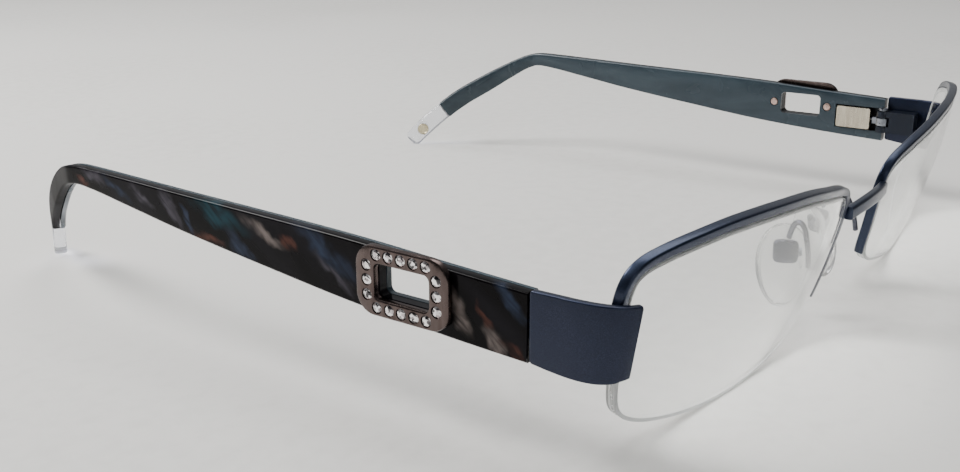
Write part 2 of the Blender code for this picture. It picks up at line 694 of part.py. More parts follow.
def build_temple():
    """Marbled shell, glued lining, and the openings for housing, window and pins."""
    end = BEND_LENGTH + TIP_FROM
    shell = temple_layer("left_temple_shell", 0.0, SHELL_THICKNESS, MARBLE, end)
    lining = temple_layer("left_temple_lining", SHELL_THICKNESS + GLUE_LINE, THICKNESS, TEAL, end)
    half = HOUSING_HEIGHT / 2 + FIT
    floor = INNER_FACE - HOUSING_PROUD + HOUSING_THICKNESS + FIT
    pocket = box_mesh((-0.002, -0.002, HINGE_Z - half),
                      (floor, HOUSING_START + HOUSING_LENGTH + 0.0004, HINGE_Z + half))
    pocket_tool = cutter("temple_pocket", pocket, hinge_frame)
    window = slab_mesh([rounded_box(WINDOW_LENGTH, WINDOW_HEIGHT, WINDOW_CORNER)], 0.02)
    window_tool = cutter("temple_window", window, hinge_frame,
                         (OUTER_FACE, WINDOW_Y, WINDOW_Z), ON_TEMPLE)
    holes = [rod_mesh(PIN_RADIUS + PIN_FIT, -0.002, 0.01, "X", (0, y, WINDOW_Z), 16)
             for y in PIN_PLACES]
    holes_tool = cutter("pin_holes", join_meshes(holes), hinge_frame)
    sinks = [rod_mesh(PIN_HEAD_RADIUS + PIN_FIT, INNER_FACE - 0.001,
                      INNER_FACE + PIN_HEAD_HEIGHT + PIN_FIT, "X", (0, y, WINDOW_Z), 20)
             for y in PIN_PLACES]
    for layer in (shell, lining):
        for tool in (pocket_tool, window_tool, holes_tool):
            boolean(layer, tool)
    boolean(lining, cutter("pin_sinks", join_meshes(sinks), hinge_frame))
    return [shell, lining]


def build_pins():
    """Two pins through the temple, riveted over on the inner face."""
    pins = []
    for label, y in zip(("front", "rear"), PIN_PLACES):
        pin = add("left_buckle_pin_" + label,
                  rod_mesh(PIN_RADIUS, INNER_FACE + 0.0001, OUTER_FACE, "X", (0, y, WINDOW_Z)),
                  COPPER, hinge_frame)
        head = rod_mesh(PIN_HEAD_RADIUS, INNER_FACE - 0.0001, INNER_FACE + PIN_HEAD_HEIGHT, "X",
                        (0, y, WINDOW_Z), 20)
        boolean(pin, cutter("pin_head_" + label, head, hinge_frame), "UNION")
        pins.append(pin)
    return pins


def crystal_places():
    """Centres of the crystals round the buckle, in its own plane."""
    reach_x = (WINDOW_LENGTH + BUCKLE_BAR) / 2 - 0.0003
    reach_y = (WINDOW_HEIGHT + BUCKLE_RAIL) / 2
    places = []
    for k in range(CRYSTALS_ALONG):
        x = CRYSTAL_PITCH * (k - (CRYSTALS_ALONG - 1) / 2)
        places += [(x, reach_y), (x, -reach_y)]
    for k in range(CRYSTALS_UP):
        y = CRYSTAL_PITCH * (k - (CRYSTALS_UP - 1) / 2)
        places += [(reach_x, y), (-reach_x, y)]
    return places


def build_buckle():
    """The rounded frame round the window, with seats, a glue channel and pin sockets."""
    middle = (OUTER_FACE + FIT + BUCKLE_THICKNESS / 2, WINDOW_Y, WINDOW_Z)
    length = WINDOW_LENGTH + 2 * BUCKLE_BAR
    height = WINDOW_HEIGHT + 2 * BUCKLE_RAIL
    ring = [rounded_box(length, height, BUCKLE_CORNER, 5),
            rounded_box(WINDOW_LENGTH, WINDOW_HEIGHT, WINDOW_CORNER, 3)]
    buckle = add("left_buckle", slab_mesh(ring, BUCKLE_THICKNESS, 0.0002), GUNMETAL, hinge_frame,
                 middle, ON_TEMPLE)
    back = -BUCKLE_THICKNESS / 2
    seats = [rod_mesh(CRYSTAL_RADIUS + SEAT_FIT, back - 0.001, -back + 0.001, "Z", (x, y, 0), 8)
             for x, y in crystal_places()]
    boolean(buckle, cutter("crystal_seats", join_meshes(seats), hinge_frame, middle, ON_TEMPLE))
    channel = channel_mesh(CHANNEL_WIDTH, back - 0.001, back + CHANNEL_DEPTH)
    boolean(buckle, cutter("glue_channel", channel, hinge_frame, middle, ON_TEMPLE))
    return buckle


def channel_mesh(width, low, high):
    """A rounded rectangular ring under the crystals."""
    reach_x = WINDOW_LENGTH + BUCKLE_BAR - 0.0006
    reach_y = WINDOW_HEIGHT + BUCKLE_RAIL
    path = [(x, y, (low + high) / 2) for x, y in rounded_box(reach_x, reach_y, width * 0.7, 2)]
    half = (high - low) / 2
    section = [(-width / 2, -half), (width / 2, -half), (width / 2, half), (-width / 2, half)]
    return sweep_mesh(path, section, cyclic=True)


def build_crystals():
    """The set of crystals on the bed of glue that holds them."""
    middle = (OUTER_FACE + FIT + BUCKLE_THICKNESS / 2, WINDOW_Y, WINDOW_Z)
    back = -BUCKLE_THICKNESS / 2
    bed = channel_mesh(CHANNEL_WIDTH - 2 * SEAT_FIT, back, back + CHANNEL_DEPTH - SEAT_FIT)
    crystals = add("left_crystals", bed, CRYSTAL, hinge_frame, middle, ON_TEMPLE)
    girdle = -back - 0.0001
    stones = []
    for x, y in crystal_places():
        stones.append(rod_mesh(CRYSTAL_RADIUS, back + 0.0001, girdle, "Z", (x, y, 0), 8))
    boolean(crystals, cutter("crystal_set", join_meshes(stones), hinge_frame, middle, ON_TEMPLE),
            "UNION")
    return crystals


def build_tip():
    """The clear end of the temple, with a flat foot and a recess for its disc."""
    start = BEND_LENGTH + TIP_FROM + FIT
    stations = trimmed(start, STATIONS[-1][0].y)
    point, out, up, half = stations[-1]
    along = (point - stations[-2][0]).normalized()
    stations.append((point + along * 0.0011, out, up, half * 0.80))
    c = EDGE_CHAMFER * 1.5
    section = [(c, 1, 0), (THICKNESS - c, 1, 0), (THICKNESS, 1, c), (THICKNESS, -1, c),
               (THICKNESS - c, -1, 0), (c, -1, 0), (0, -1, c), (0, 1, c)]
    tip = add("left_temple_tip", loft_mesh(stations, section), SILICONE, hinge_frame)
    foot = box_mesh((-0.04, 0.08, -0.01), (0.02, 0.14, 0.0))
    boolean(tip, cutter("table_plane", foot, hinge_frame))
    place = disc_place()
    recess = rod_mesh(DISC_RADIUS + SEAT_FIT, -DISC_THICKNESS - 0.0001, 0.002, "Z", sides=20)
    boolean(tip, cutter("disc_recess", recess, hinge_frame, *place))
    disc = add("left_tip_disc", rod_mesh(DISC_RADIUS, -DISC_THICKNESS + 0.0001, 0.0, "Z", sides=20),
               CHAMPAGNE, hinge_frame, *place)
    return [tip, disc]


def disc_place():
    """Where the disc lies on the inner face of the tip, facing inwards."""
    y = BEND_LENGTH + TIP_FROM + DISC_BACK
    point, out, up, half = trimmed(y, STATIONS[-1][0].y)[0]
    inward = -out.normalized()
    spot = point + inward * THICKNESS
    return spot, inward.to_track_quat("Z", "Y").to_euler()


# ---- bridge ----
def build_bridge():
    """A bar from rim to rim, arched up and bowed forward."""
    deep, tall = BRIDGE_SECTION
    half_deep = deep / 2
    half_tall = tall / 2
    section = [(-half_tall, -half_deep), (half_tall, -half_deep), (half_tall, half_deep),
               (-half_tall, half_deep)]
    points = []
    steps = 14
    for k in range(steps + 1):
        x = BRIDGE_HALF * (2 * k / steps - 1)
        rise = 1 - (x / BRIDGE_HALF) ** 2
        points.append((x, BRIDGE_Z + BRIDGE_ARCH * rise, BRIDGE_BOW * rise))
    mesh = sweep_mesh(points, section)
    bridge = add("bridge", mesh, NAVY, None, (0, HINGE_Y - LENS_FORWARD - 0.0003, 0),
                 (math.pi / 2, 0, 0))
    bevel(bridge, 0.0003, 1, 60)
    return bridge


# ---- nose pad ----
pad_frame = add_empty("left_pad_axis", (PAD_POINT[0], HINGE_Y - PAD_POINT[1], PAD_POINT[2]),
                      (0, PAD_FLARE, math.pi - PAD_SPLAY))


def build_pad_box():
    """The soldered box that the pad's tab sits in, open towards the nose."""
    x, y, z = [s / 2 for s in BOX_SIZE]
    shell = add("left_pad_box", box_mesh((-x, -y, -z), (x, y, z)), STEEL, pad_frame)
    bevel(shell, 0.0005, 1)
    inside = box_mesh((-x + BOX_WALL, -y + 2 * BOX_WALL, -z + BOX_WALL),
                      (x + 0.001, y - 2 * BOX_WALL, z - BOX_WALL))
    boolean(shell, cutter("pad_box_inside", inside, pad_frame))
    bore = rod_mesh(PAD_SCREW_RADIUS + SCREW_FIT, -y - 0.001, y + 0.001, "Y", sides=12)
    boolean(shell, cutter("pad_box_bore", bore, pad_frame))
    return shell


def build_pad_screw():
    """The cross screw that the pad rocks on."""
    reach = BOX_SIZE[1] / 2
    screw = add("left_pad_screw", rod_mesh(PAD_SCREW_RADIUS, -reach, reach + 0.0003, "Y", sides=12),
                STEEL, pad_frame)
    head = rod_mesh(PAD_SCREW_RADIUS * 1.9, reach + 0.00015, reach + 0.0005, "Y", sides=12)
    boolean(screw, cutter("pad_screw_head", head, pad_frame), "UNION")
    return screw


def build_nose_pad():
    """A soft oval pad with the tab that is held in the box."""
    mesh = bpy.data.meshes.new("pad")
    shape = bmesh.new()
    bmesh.ops.create_uvsphere(shape, u_segments=16, v_segments=10, radius=1.0)
    for vert in shape.verts:
        flat = Vector((vert.co.x * PAD_HALF[0], vert.co.y * PAD_HALF[1], vert.co.z * PAD_HALF[2]))
        vert.co = flat + Vector((PAD_OUT, 0, -PAD_DROP))
    shape.to_mesh(mesh)
    shape.free()
    pad = add("left_nose_pad", mesh, SILICONE, pad_frame)
    x, y, z = [s / 2 for s in TAB_SIZE]
    tab = box_mesh((-0.00035, -y, -z), (PAD_OUT - 0.0004, y, z))
    boolean(pad, cutter("pad_tab", tab, pad_frame), "UNION")
    bore = rod_mesh(PAD_SCREW_RADIUS + SCREW_FIT, -0.002, 0.002, "Y", sides=12)
    boolean(pad, cutter("pad_tab_bore", bore, pad_frame))
    return pad


def build_pad_arm():
    """A bent wire from the back of the nasal bar up and over to the pad box."""
    x, forward, z = PAD_POINT
    route = [(x + out * MM, HINGE_Y - forward - ahead * MM, z + up * MM)
             for out, ahead, up in ARM_ROUTE]
    points = [tuple(p) for p in smooth_line(route, 3)]
    return add("left_pad_arm", wire_mesh(points, ARM_RADIUS, 1), STEEL)


# ---- the left half, the bridge, then the mirrored half ----
def mirror_to_right(piece):
    """The right-hand twin of a left-hand piece, as an object of its own."""
    bpy.context.view_layer.update()
    ready = piece.evaluated_get(bpy.context.evaluated_depsgraph_get())
    mesh = bpy.data.meshes.new_from_object(ready)
    world = place_matrix(piece)
    origin = world.translation.copy()
    origin.x = -origin.x
    flip = Matrix.Scale(-1, 4, (1, 0, 0))
    mesh.transform(Matrix.Translation(-origin) @ flip @ world)
    mesh.flip_normals()
    twin = add(piece.name.replace("left_", "right_"), mesh, piece.data.materials[0])
    twin.data.materials.clear()
    twin.data.materials.append(piece.data.materials[0])
    twin.location = origin
    return twin


CORD_TUCK = 2                 # outline points that the cord runs on inside each end of the rim
left_pieces = [build_lens(), build_rim(),
               strand("left_rim_liner", CORD_TUCK + 1, RIM_COUNT - 2 - CORD_TUCK, 0.00005),
               strand("left_lens_cord", RIM_COUNT - 1 - CORD_TUCK, len(OUTLINE) + CORD_TUCK,
                      -STRAND / 2),
               build_endpiece(), build_hinge_leaf(), build_hinge_screw(), build_hinge_eye(),
               build_hinge_spring(), build_spring_housing(), *build_temple(), *build_pins(),
               build_buckle(), build_crystals(), *build_tip(), build_pad_box(),
               build_pad_screw(), build_nose_pad(), build_pad_arm()]
build_bridge()
for left in left_pieces:
    mirror_to_right(left)

for piece in PARTS.objects:
    if piece.type == "MESH":
        piece.data.shade_smooth()
        piece.data.set_sharp_from_angle(angle=math.radians(35))
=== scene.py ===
"""Semi-rimless eyeglasses with jewelled temples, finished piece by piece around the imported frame.

Lengths are metres.  +X is the wearer's left, -Y the front, +Z up, and the table is z = 0.  Each
piece is worked out for the left side and mirrored to the right.
"""
import math

import bmesh
import bpy
import numpy as np
from mathutils import Euler, Matrix, Vector


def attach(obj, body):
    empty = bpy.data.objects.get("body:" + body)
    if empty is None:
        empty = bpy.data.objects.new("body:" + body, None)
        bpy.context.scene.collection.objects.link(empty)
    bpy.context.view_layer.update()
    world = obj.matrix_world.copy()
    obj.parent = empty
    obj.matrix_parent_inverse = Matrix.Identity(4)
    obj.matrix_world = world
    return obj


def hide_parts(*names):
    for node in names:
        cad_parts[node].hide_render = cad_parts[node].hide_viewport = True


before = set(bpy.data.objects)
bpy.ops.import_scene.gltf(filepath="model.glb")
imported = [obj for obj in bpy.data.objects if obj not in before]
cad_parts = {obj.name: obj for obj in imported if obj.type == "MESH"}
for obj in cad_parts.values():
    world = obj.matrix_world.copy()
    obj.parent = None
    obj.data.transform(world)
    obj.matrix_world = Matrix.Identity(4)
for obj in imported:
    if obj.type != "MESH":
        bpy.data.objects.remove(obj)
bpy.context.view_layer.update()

# ---- Table, light and camera ----
# The glasses stand open on a pale matt sheet under soft daylight from a wide window behind
# them, with a weak fill from the front so that the painted metal keeps its dark side.


def new_material(name, **constants):
    """A Principled material with its constant sockets set; returns it, its tree and its shader."""
    made = bpy.data.materials.new(name)
    made.use_nodes = True
    tree = made.node_tree
    shader = tree.nodes["Principled BSDF"]
    for socket, value in constants.items():
        shader.inputs[socket.replace("_", " ")].default_value = value
    return made, tree, shader


def add_node(tree, kind, links=(), **values):
    """Add a node, set its properties or input values, and join (output, input name) links to it."""
    node = tree.nodes.new(kind)
    for key, value in values.items():
        if hasattr(node, key):
            setattr(node, key, value)
        else:
            node.inputs[key.replace("_", " ")].default_value = value
    for source, target in links:
        tree.links.new(source, node.inputs[target])
    return node


def add_ramp(tree, source, stops):
    """A colour ramp on a value; stops are (position, colour or grey)."""
    node = add_node(tree, "ShaderNodeValToRGB", [(source, "Fac")])
    ramp = node.color_ramp
    while len(ramp.elements) < len(stops):
        ramp.elements.new(0.5)
    for element, (place, colour) in zip(ramp.elements, stops):
        element.position = place
        element.color = (*colour, 1) if isinstance(colour, tuple) else (colour, colour, colour, 1)
    return node.outputs["Color"]


TABLE_TOP = -0.00002
bpy.ops.mesh.primitive_plane_add(size=6.0, location=(0, 0.8, TABLE_TOP))
table = bpy.context.object
table.name = "table_sheet"
sheet, tree, shader = new_material("matt_sheet", Roughness=0.75, Specular_IOR_Level=0.25)
where = add_node(tree, "ShaderNodeTexCoord").outputs["Object"]
fibre = add_node(tree, "ShaderNodeTexNoise", [(where, "Vector")], Scale=320.0, Detail=3.0)
cloud = add_node(tree, "ShaderNodeTexNoise", [(where, "Vector")], Scale=9.0, Detail=1.0)
tone = add_node(tree, "ShaderNodeMath", [(fibre.outputs["Fac"], 0), (cloud.outputs["Fac"], 1)],
                operation="ADD")
tree.links.new(add_ramp(tree, tone.outputs[0], [(0.7, (0.71, 0.70, 0.675)),
                                               (1.3, (0.75, 0.74, 0.715))]),
               shader.inputs["Base Color"])
table.data.materials.append(sheet)

sky = bpy.data.worlds.new("soft_room")
bpy.context.scene.world = sky
sky.use_nodes = True
room = sky.node_tree
ray = add_node(room, "ShaderNodeTexCoord").outputs["Generated"]
toward = add_node(room, "ShaderNodeVectorMath", [(ray, 0)], operation="DOT_PRODUCT")
toward.inputs[1].default_value = (0.38, 0.52, 0.76)
glow = add_ramp(room, toward.outputs["Value"], [(0.0, (0.10, 0.10, 0.105)),
                                                (0.25, (0.22, 0.22, 0.225)),
                                                (0.9, (0.88, 0.885, 0.90))])
room.links.new(glow, room.nodes["Background"].inputs["Color"])
room.nodes["Background"].inputs["Strength"].default_value = 0.58


def soft_lamp(name, place, aim, size, watts, colour=(1, 1, 1)):
    """A square area lamp at place, turned to aim."""
    data = bpy.data.lights.new(name, "AREA")
    data.size = size
    data.energy = watts
    data.color = colour
    lamp = bpy.data.objects.new(name, data)
    bpy.context.scene.collection.objects.link(lamp)
    lamp.location = place
    lamp.rotation_euler = (Vector(aim) - Vector(place)).to_track_quat("-Z", "Y").to_euler()


soft_lamp("window_light", (-0.22, 0.38, 0.46), (-0.01, 0.03, 0), 0.26, 4.9, (1.0, 0.99, 0.97))
soft_lamp("ceiling_light", (0.25, 0.10, 0.90), (0, 0, 0), 0.60, 4.4)
soft_lamp("front_fill", (-0.80, -0.60, 0.45), (0, -0.03, 0.01), 0.50, 1.0, (0.96, 0.98, 1.0))

TURN = math.radians(55.121)
DIP = math.radians(17.802)
ROLL = math.radians(-0.168)
EYE = (-0.17243, -0.11210, 0.06679)
lens_data = bpy.data.cameras.new("camera")
lens_data.lens = 42.83
lens_data.sensor_width = 36.0
lens_data.clip_start = 0.005
camera = bpy.data.objects.new("camera", lens_data)
bpy.context.scene.collection.objects.link(camera)
facing = (Matrix.Rotation(-TURN, 4, "Z") @ Matrix.Rotation(math.pi / 2 - DIP, 4, "X")
          @ Matrix.Rotation(ROLL, 4, "Z"))
camera.matrix_world = Matrix.Translation(EYE) @ facing
bpy.context.scene.camera = camera

# ---- Lenses ----
# Clear plano lenses of optical resin, cut from a spherical blank and edged to the outline, with
# a fine groove run round the matt ground edge for the rim's liner and the nylon cord.

HINGE_Y = -0.0474
HINGE_Z = 0.0167
LENS_FORWARD = 0.0166
LENS_PLACE = (0.0382, HINGE_Y - LENS_FORWARD, 0.0126)
LENS_TURN = (math.radians(90 + 14.6), 0, math.radians(6.1))
LENS_RADIUS = 0.0950
LENS_THICKNESS = 0.0016
GROOVE_DEPTH = 0.00060
GROOVE_HALF = 0.00034
EDGE_BREAK = 0.00012
FACE_RINGS = 14
EDGE_RINGS = 7
MM = 0.001
BROW_LINE = [(27.8, -0.3), (28.6, 5.3), (28.4, 8.9), (27.2, 10.8), (24.5, 12.0), (19.7, 13.1),
             (12.8, 14.0), (4.4, 14.1), (-5.0, 13.4), (-13.5, 11.8), (-20.5, 10.0), (-26.1, 7.5),
             (-27.4, 3.9), (-26.3, -2.2), (-24.4, -7.7)]
CORD_LINE = [(-20.7, -10.7), (-13.8, -12.3), (-5.8, -13.1), (1.3, -13.3), (9.3, -13.1),
             (16.8, -12.2), (22.0, -10.8), (25.2, -8.7), (26.9, -5.1)]
FINE = 8


def smooth_line(points, steps, closed=False):
    """Catmull-Rom line: between b and c, half of 2b + (c-a)t + (2a-5b+4c-d)t^2 + (3b-a-3c+d)t^3."""
    p = np.asarray(points, float)
    if closed:
        a, b, c, d = np.roll(p, 1, 0), p, np.roll(p, -1, 0), np.roll(p, -2, 0)
    else:
        q = np.vstack([p[:1], p, p[-1:]])
        a, b, c, d = q[:-3], q[1:-2], q[2:-1], q[3:]
    a, b, c, d = (k[:, None, :] for k in (a, b, c, d))
    t = (np.arange(steps) / steps)[None, :, None]
    line = 0.5 * (2 * b + (c - a) * t + (2 * a - 5 * b + 4 * c - d) * t ** 2
                  + (3 * b - a - 3 * c + d) * t ** 3)
    line = line.reshape(-1, p.shape[1])
    return line if closed else np.vstack([line, p[-1:]])


def turn_matrix(place, turn):
    """A 4 x 4 array that carries a piece's own frame to the row frame."""
    return np.array(Matrix.LocRotScale(Vector(place), Euler(turn), None))


def carry(points, matrix):
    """Points of any grid, moved by a 4 x 4 array."""
    return points @ matrix[:3, :3].T + matrix[:3, 3]


def skin(rows, closed=False):
    """Quads between neighbouring rows; an open run closes on the middle of each end row."""
    rows = np.asarray(rows, float)
    count, across = rows.shape[:2]
    i = np.arange(count if closed else count - 1)[:, None]
    j = np.arange(across)[None, :]
    after = (i + 1) % count
    ahead_j = (j + 1) % across
    quads = np.stack([i * across + j, i * across + ahead_j, after * across + ahead_j,
                      after * across + j], -1).reshape(-1, 4)
    points = rows.reshape(-1, 3)
    faces = quads.tolist()
    if not closed:
        poles = np.array([rows[0].mean(0), rows[-1].mean(0)])
        points = np.vstack([points, poles])
        ring = np.arange(across)
        last = (count - 1) * across
        first_fan = np.stack([np.roll(ring, -1), ring, np.full(across, count * across)], -1)
        last_fan = np.stack([last + ring, last + np.roll(ring, -1),
                             np.full(across, count * across + 1)], -1)
        faces += first_fan.tolist() + last_fan.tolist()
    return points, faces


def build_mesh(name, points, faces, finish, crease=35):
    """A closed mesh with its faces outwards and its sharp edges kept sharp."""
    mesh = bpy.data.meshes.new(name)
    mesh.from_pydata(np.asarray(points).tolist(), [], [list(f) for f in faces])
    shape = bmesh.new()
    shape.from_mesh(mesh)
    bmesh.ops.remove_doubles(shape, verts=shape.verts, dist=2e-8)
    bmesh.ops.recalc_face_normals(shape, faces=shape.faces)
    shape.to_mesh(mesh)
    shape.free()
    if crease:
        mesh.shade_smooth()
        mesh.set_sharp_from_angle(angle=math.radians(crease))
    else:
        mesh.shade_flat()
    mesh.materials.append(finish)
    piece = bpy.data.objects.new(name, mesh)
    bpy.context.scene.collection.objects.link(piece)
    return piece


def pair(name, shape, finish, body, nodes=(), crease=35):
    """A left piece and its mirror image, each riding on its own side's body."""
    points, faces = shape
    made = []
    for side, sign in (("left", 1), ("right", -1)):
        turned = np.asarray(points) * (sign, 1, 1)
        piece = build_mesh(side + "_" + name, turned, faces, finish, crease)
        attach(piece, body if body == "front" else side + "_" + body)
        if nodes:
            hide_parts(*[side + "_" + node for node in nodes])
        made.append(piece)
    return made


def on_blank(u, v, depth):
    """Lens frame: the spherical front is R - sqrt(R^2 - u^2 - v^2) behind its vertex."""
    sag = LENS_RADIUS - np.sqrt(LENS_RADIUS ** 2 - u ** 2 - v ** 2)
    return np.stack([u, v, -sag - depth], -1)


OUTLINE = smooth_line(BROW_LINE + CORD_LINE, FINE, True) * MM
heading = np.roll(OUTLINE, -1, 0) - np.roll(OUTLINE, 1, 0)
heading /= np.linalg.norm(heading, axis=1)[:, None]
OUTWARD = np.stack([heading[:, 1], -heading[:, 0]], -1)
LENS_FRAME = turn_matrix(LENS_PLACE, LENS_TURN)
MID_EDGE = LENS_THICKNESS / 2


def lens_shape():
    """Rings that grow from the vertex to the edge, cross the grooved edge, and shrink back."""
    share = np.linspace(0.06, 0.985, FACE_RINGS)
    b, t, m = EDGE_BREAK, LENS_THICKNESS, MID_EDGE
    edge = [(b, 0.0), (0.0, b), (0.0, m - GROOVE_HALF), (GROOVE_DEPTH, m - GROOVE_HALF * 0.6),
            (GROOVE_DEPTH, m + GROOVE_HALF * 0.6), (0.0, m + GROOVE_HALF), (0.0, t - b), (b, t)]
    rows = [on_blank(*(OUTLINE * s).T, 0.0) for s in share]
    for inset, depth in edge:
        rim = OUTLINE - OUTWARD * inset
        rows.append(on_blank(*rim.T, depth))
    rows += [on_blank(*(OUTLINE * s).T, t) for s in share[::-1]]
    return skin(carry(np.array(rows), LENS_FRAME))


def lets_lamps_through(tree, shader, tint):
    """Clear stock: lamps pass straight through it, so that its shadow stays pale."""
    lamp = add_node(tree, "ShaderNodeLightPath").outputs["Is Shadow Ray"]
    through = add_node(tree, "ShaderNodeBsdfTransparent", Color=(*tint, 1))
    mix = add_node(tree, "ShaderNodeMixShader", [(lamp, 0), (shader.outputs[0], 1),
                                                 (through.outputs[0], 2)])
    tree.links.new(mix.outputs[0], tree.nodes["Material Output"].inputs["Surface"])


def group_of(name, inputs, outputs):
    """An empty shader group with its sockets; returns the tree, its inputs and its output node."""
    tree = bpy.data.node_groups.new(name, "ShaderNodeTree")
    for label, kind, value in inputs:
        socket = tree.interface.new_socket(name=label, in_out="INPUT", socket_type=kind)
        socket.default_value = value
    for label, kind in outputs:
        tree.interface.new_socket(name=label, in_out="OUTPUT", socket_type=kind)
    start = tree.nodes.new("NodeGroupInput")
    return tree, start.outputs, tree.nodes.new("NodeGroupOutput")


def handling_marks():
    """Group: faint wiped smears and dust.  Puts out a roughness and a height."""
    tree, given, out = group_of("handling_marks",
                                [("Smooth", "NodeSocketFloat", 0.03),
                                 ("Dull", "NodeSocketFloat", 0.1),
                                 ("Smear Scale", "NodeSocketFloat", 90.0)],
                                [("Roughness", "NodeSocketFloat"), ("Height", "NodeSocketFloat")])
    where = add_node(tree, "ShaderNodeTexCoord").outputs["Object"]
    smear = add_node(tree, "ShaderNodeTexNoise", [(where, "Vector"),
                                                  (given["Smear Scale"], "Scale")],
                     Detail=3.0, Distortion=1.4)
    dust = add_node(tree, "ShaderNodeTexVoronoi", [(where, "Vector")], Scale=1500.0)
    specks = add_ramp(tree, dust.outputs["Distance"], [(0.05, 1.0), (0.12, 0.0)])
    wiped = add_ramp(tree, smear.outputs["Fac"], [(0.42, 0.0), (0.72, 1.0)])
    both = add_node(tree, "ShaderNodeMath", [(wiped, 0), (specks, 1)], operation="MAXIMUM")
    rough = add_node(tree, "ShaderNodeMapRange", [(both.outputs[0], "Value"),
                                                  (given["Smooth"], "To Min"),
                                                  (given["Dull"], "To Max")])
    tree.links.new(rough.outputs["Result"], out.inputs["Roughness"])
    tree.links.new(smear.outputs["Fac"], out.inputs["Height"])
    return tree


MARKS = handling_marks()


def use_marks(tree, shader, smooth, dull, scale, bump):
    """Place the handling marks in a material."""
    marks = add_node(tree, "ShaderNodeGroup", node_tree=MARKS)
    marks.inputs["Smooth"].default_value = smooth
    marks.inputs["Dull"].default_value = dull
    marks.inputs["Smear Scale"].default_value = scale
    tree.links.new(marks.outputs["Roughness"], shader.inputs["Roughness"])
    if bump:
        relief = add_node(tree, "ShaderNodeBump", [(marks.outputs["Height"], "Height")],
                          Strength=0.25, Distance=bump)
        tree.links.new(relief.outputs["Normal"], shader.inputs["Normal"])


ground, tree, shader = new_material("ground_edge", Base_Color=(0.66, 0.67, 0.67, 1), IOR=1.5,
                                    Transmission_Weight=0.45)
use_marks(tree, shader, 0.34, 0.55, 900.0, 0.00001)
lets_lamps_through(tree, shader, (0.50, 0.50, 0.50))
resin, tree, shader = new_material("lens_resin", Base_Color=(0.975, 0.985, 0.98, 1), IOR=1.5,
                                   Transmission_Weight=1.0)
use_marks(tree, shader, 0.0, 0.03, 60.0, 0)
lets_lamps_through(tree, shader, (0.90, 0.905, 0.905))
for lens in pair("cut_lens", lens_shape(), resin, "front", ["lens"], crease=25):
    lens.data.materials.append(ground)
    ring = np.arange(len(lens.data.polygons)) // len(OUTLINE)
    on_edge = (ring >= FACE_RINGS) & (ring < FACE_RINGS + EDGE_RINGS)
    lens.data.polygons.foreach_set("material_index", on_edge.astype(np.int32))

# ---- Brow rims ----
# A drawn metal bar, bent to the lens outline and ground round on its outer corners, with a
# channel inside; it is painted in a satin navy that holds a fine pearl.

FIT = 0.00025
RIM_HEIGHT = 0.0012
RIM_HALF = 0.00075
RIM_CHANNEL = 0.00035
RIM_SLOT_HALF = 0.0004
RIM_BREAK = 0.0001
RIM_LAST = (len(BROW_LINE) - 1) * FINE


def satin_pearl():
    """Group: navy paint with a fine bright pearl.  Puts out a colour, a roughness and a height."""
    tree, given, out = group_of("satin_pearl",
                                [("Deep", "NodeSocketColor", (0.03, 0.05, 0.10, 1)),
                                 ("Bright", "NodeSocketColor", (0.10, 0.16, 0.28, 1)),
                                 ("Satin", "NodeSocketFloat", 0.42)],
                                [("Color", "NodeSocketColor"), ("Roughness", "NodeSocketFloat"),
                                 ("Height", "NodeSocketFloat")])
    where = add_node(tree, "ShaderNodeTexCoord").outputs["Object"]
    flake = add_node(tree, "ShaderNodeTexVoronoi", [(where, "Vector")], Scale=12000.0)
    cloud = add_node(tree, "ShaderNodeTexNoise", [(where, "Vector")], Scale=420.0, Detail=4.0)
    sparkle = add_ramp(tree, flake.outputs["Color"], [(0.35, 0.0), (0.95, 1.0)])
    share = add_node(tree, "ShaderNodeMath", [(sparkle, 0), (cloud.outputs["Fac"], 1)],
                     operation="MULTIPLY")
    mix = add_node(tree, "ShaderNodeMix", [(share.outputs[0], 0)], data_type="RGBA")
    tree.links.new(given["Deep"], mix.inputs[6])
    tree.links.new(given["Bright"], mix.inputs[7])
    spread = add_node(tree, "ShaderNodeMapRange", [(cloud.outputs["Fac"], "Value")],
                      To_Min=-0.06, To_Max=0.06)
    rough = add_node(tree, "ShaderNodeMath", [(given["Satin"], 0), (spread.outputs["Result"], 1)],
                     operation="ADD")
    tree.links.new(mix.outputs[2], out.inputs["Color"])
    tree.links.new(rough.outputs[0], out.inputs["Roughness"])
    tree.links.new(share.outputs[0], out.inputs["Height"])
    return tree


PEARL = satin_pearl()


def pearl_paint(name, deep, bright, satin):
    """Navy paint over metal with a thin clear lacquer."""
    made, tree, shader = new_material(name, Metallic=0.85, Coat_Weight=0.35, Coat_Roughness=0.22)
    paint = add_node(tree, "ShaderNodeGroup", node_tree=PEARL)
    paint.inputs["Deep"].default_value = (*deep, 1)
    paint.inputs["Bright"].default_value = (*bright, 1)
    paint.inputs["Satin"].default_value = satin
    tree.links.new(paint.outputs["Color"], shader.inputs["Base Color"])
    tree.links.new(paint.outputs["Roughness"], shader.inputs["Roughness"])
    relief = add_node(tree, "ShaderNodeBump", [(paint.outputs["Height"], "Height")],
                      Strength=0.30, Distance=0.00002)
    tree.links.new(relief.outputs["Normal"], shader.inputs["Normal"])
    return made


def rounded_profile(low, high, corner, steps=3):
    """Corner points of a rectangle from low to high, each corner a quarter circle."""
    low, high = np.asarray(low, float), np.asarray(high, float)
    angle = (np.arange(4)[:, None] + np.arange(steps + 1)[None, :] / steps) * math.pi / 2
    signs = np.array([(1, 1), (-1, 1), (-1, -1), (1, -1)], float)[:, None, :]
    arc = np.stack([np.cos(angle), np.sin(angle)], -1) * corner
    middle, half = (low + high) / 2, (high - low) / 2
    return (middle + signs * (half - corner) + arc).reshape(-1, 2)


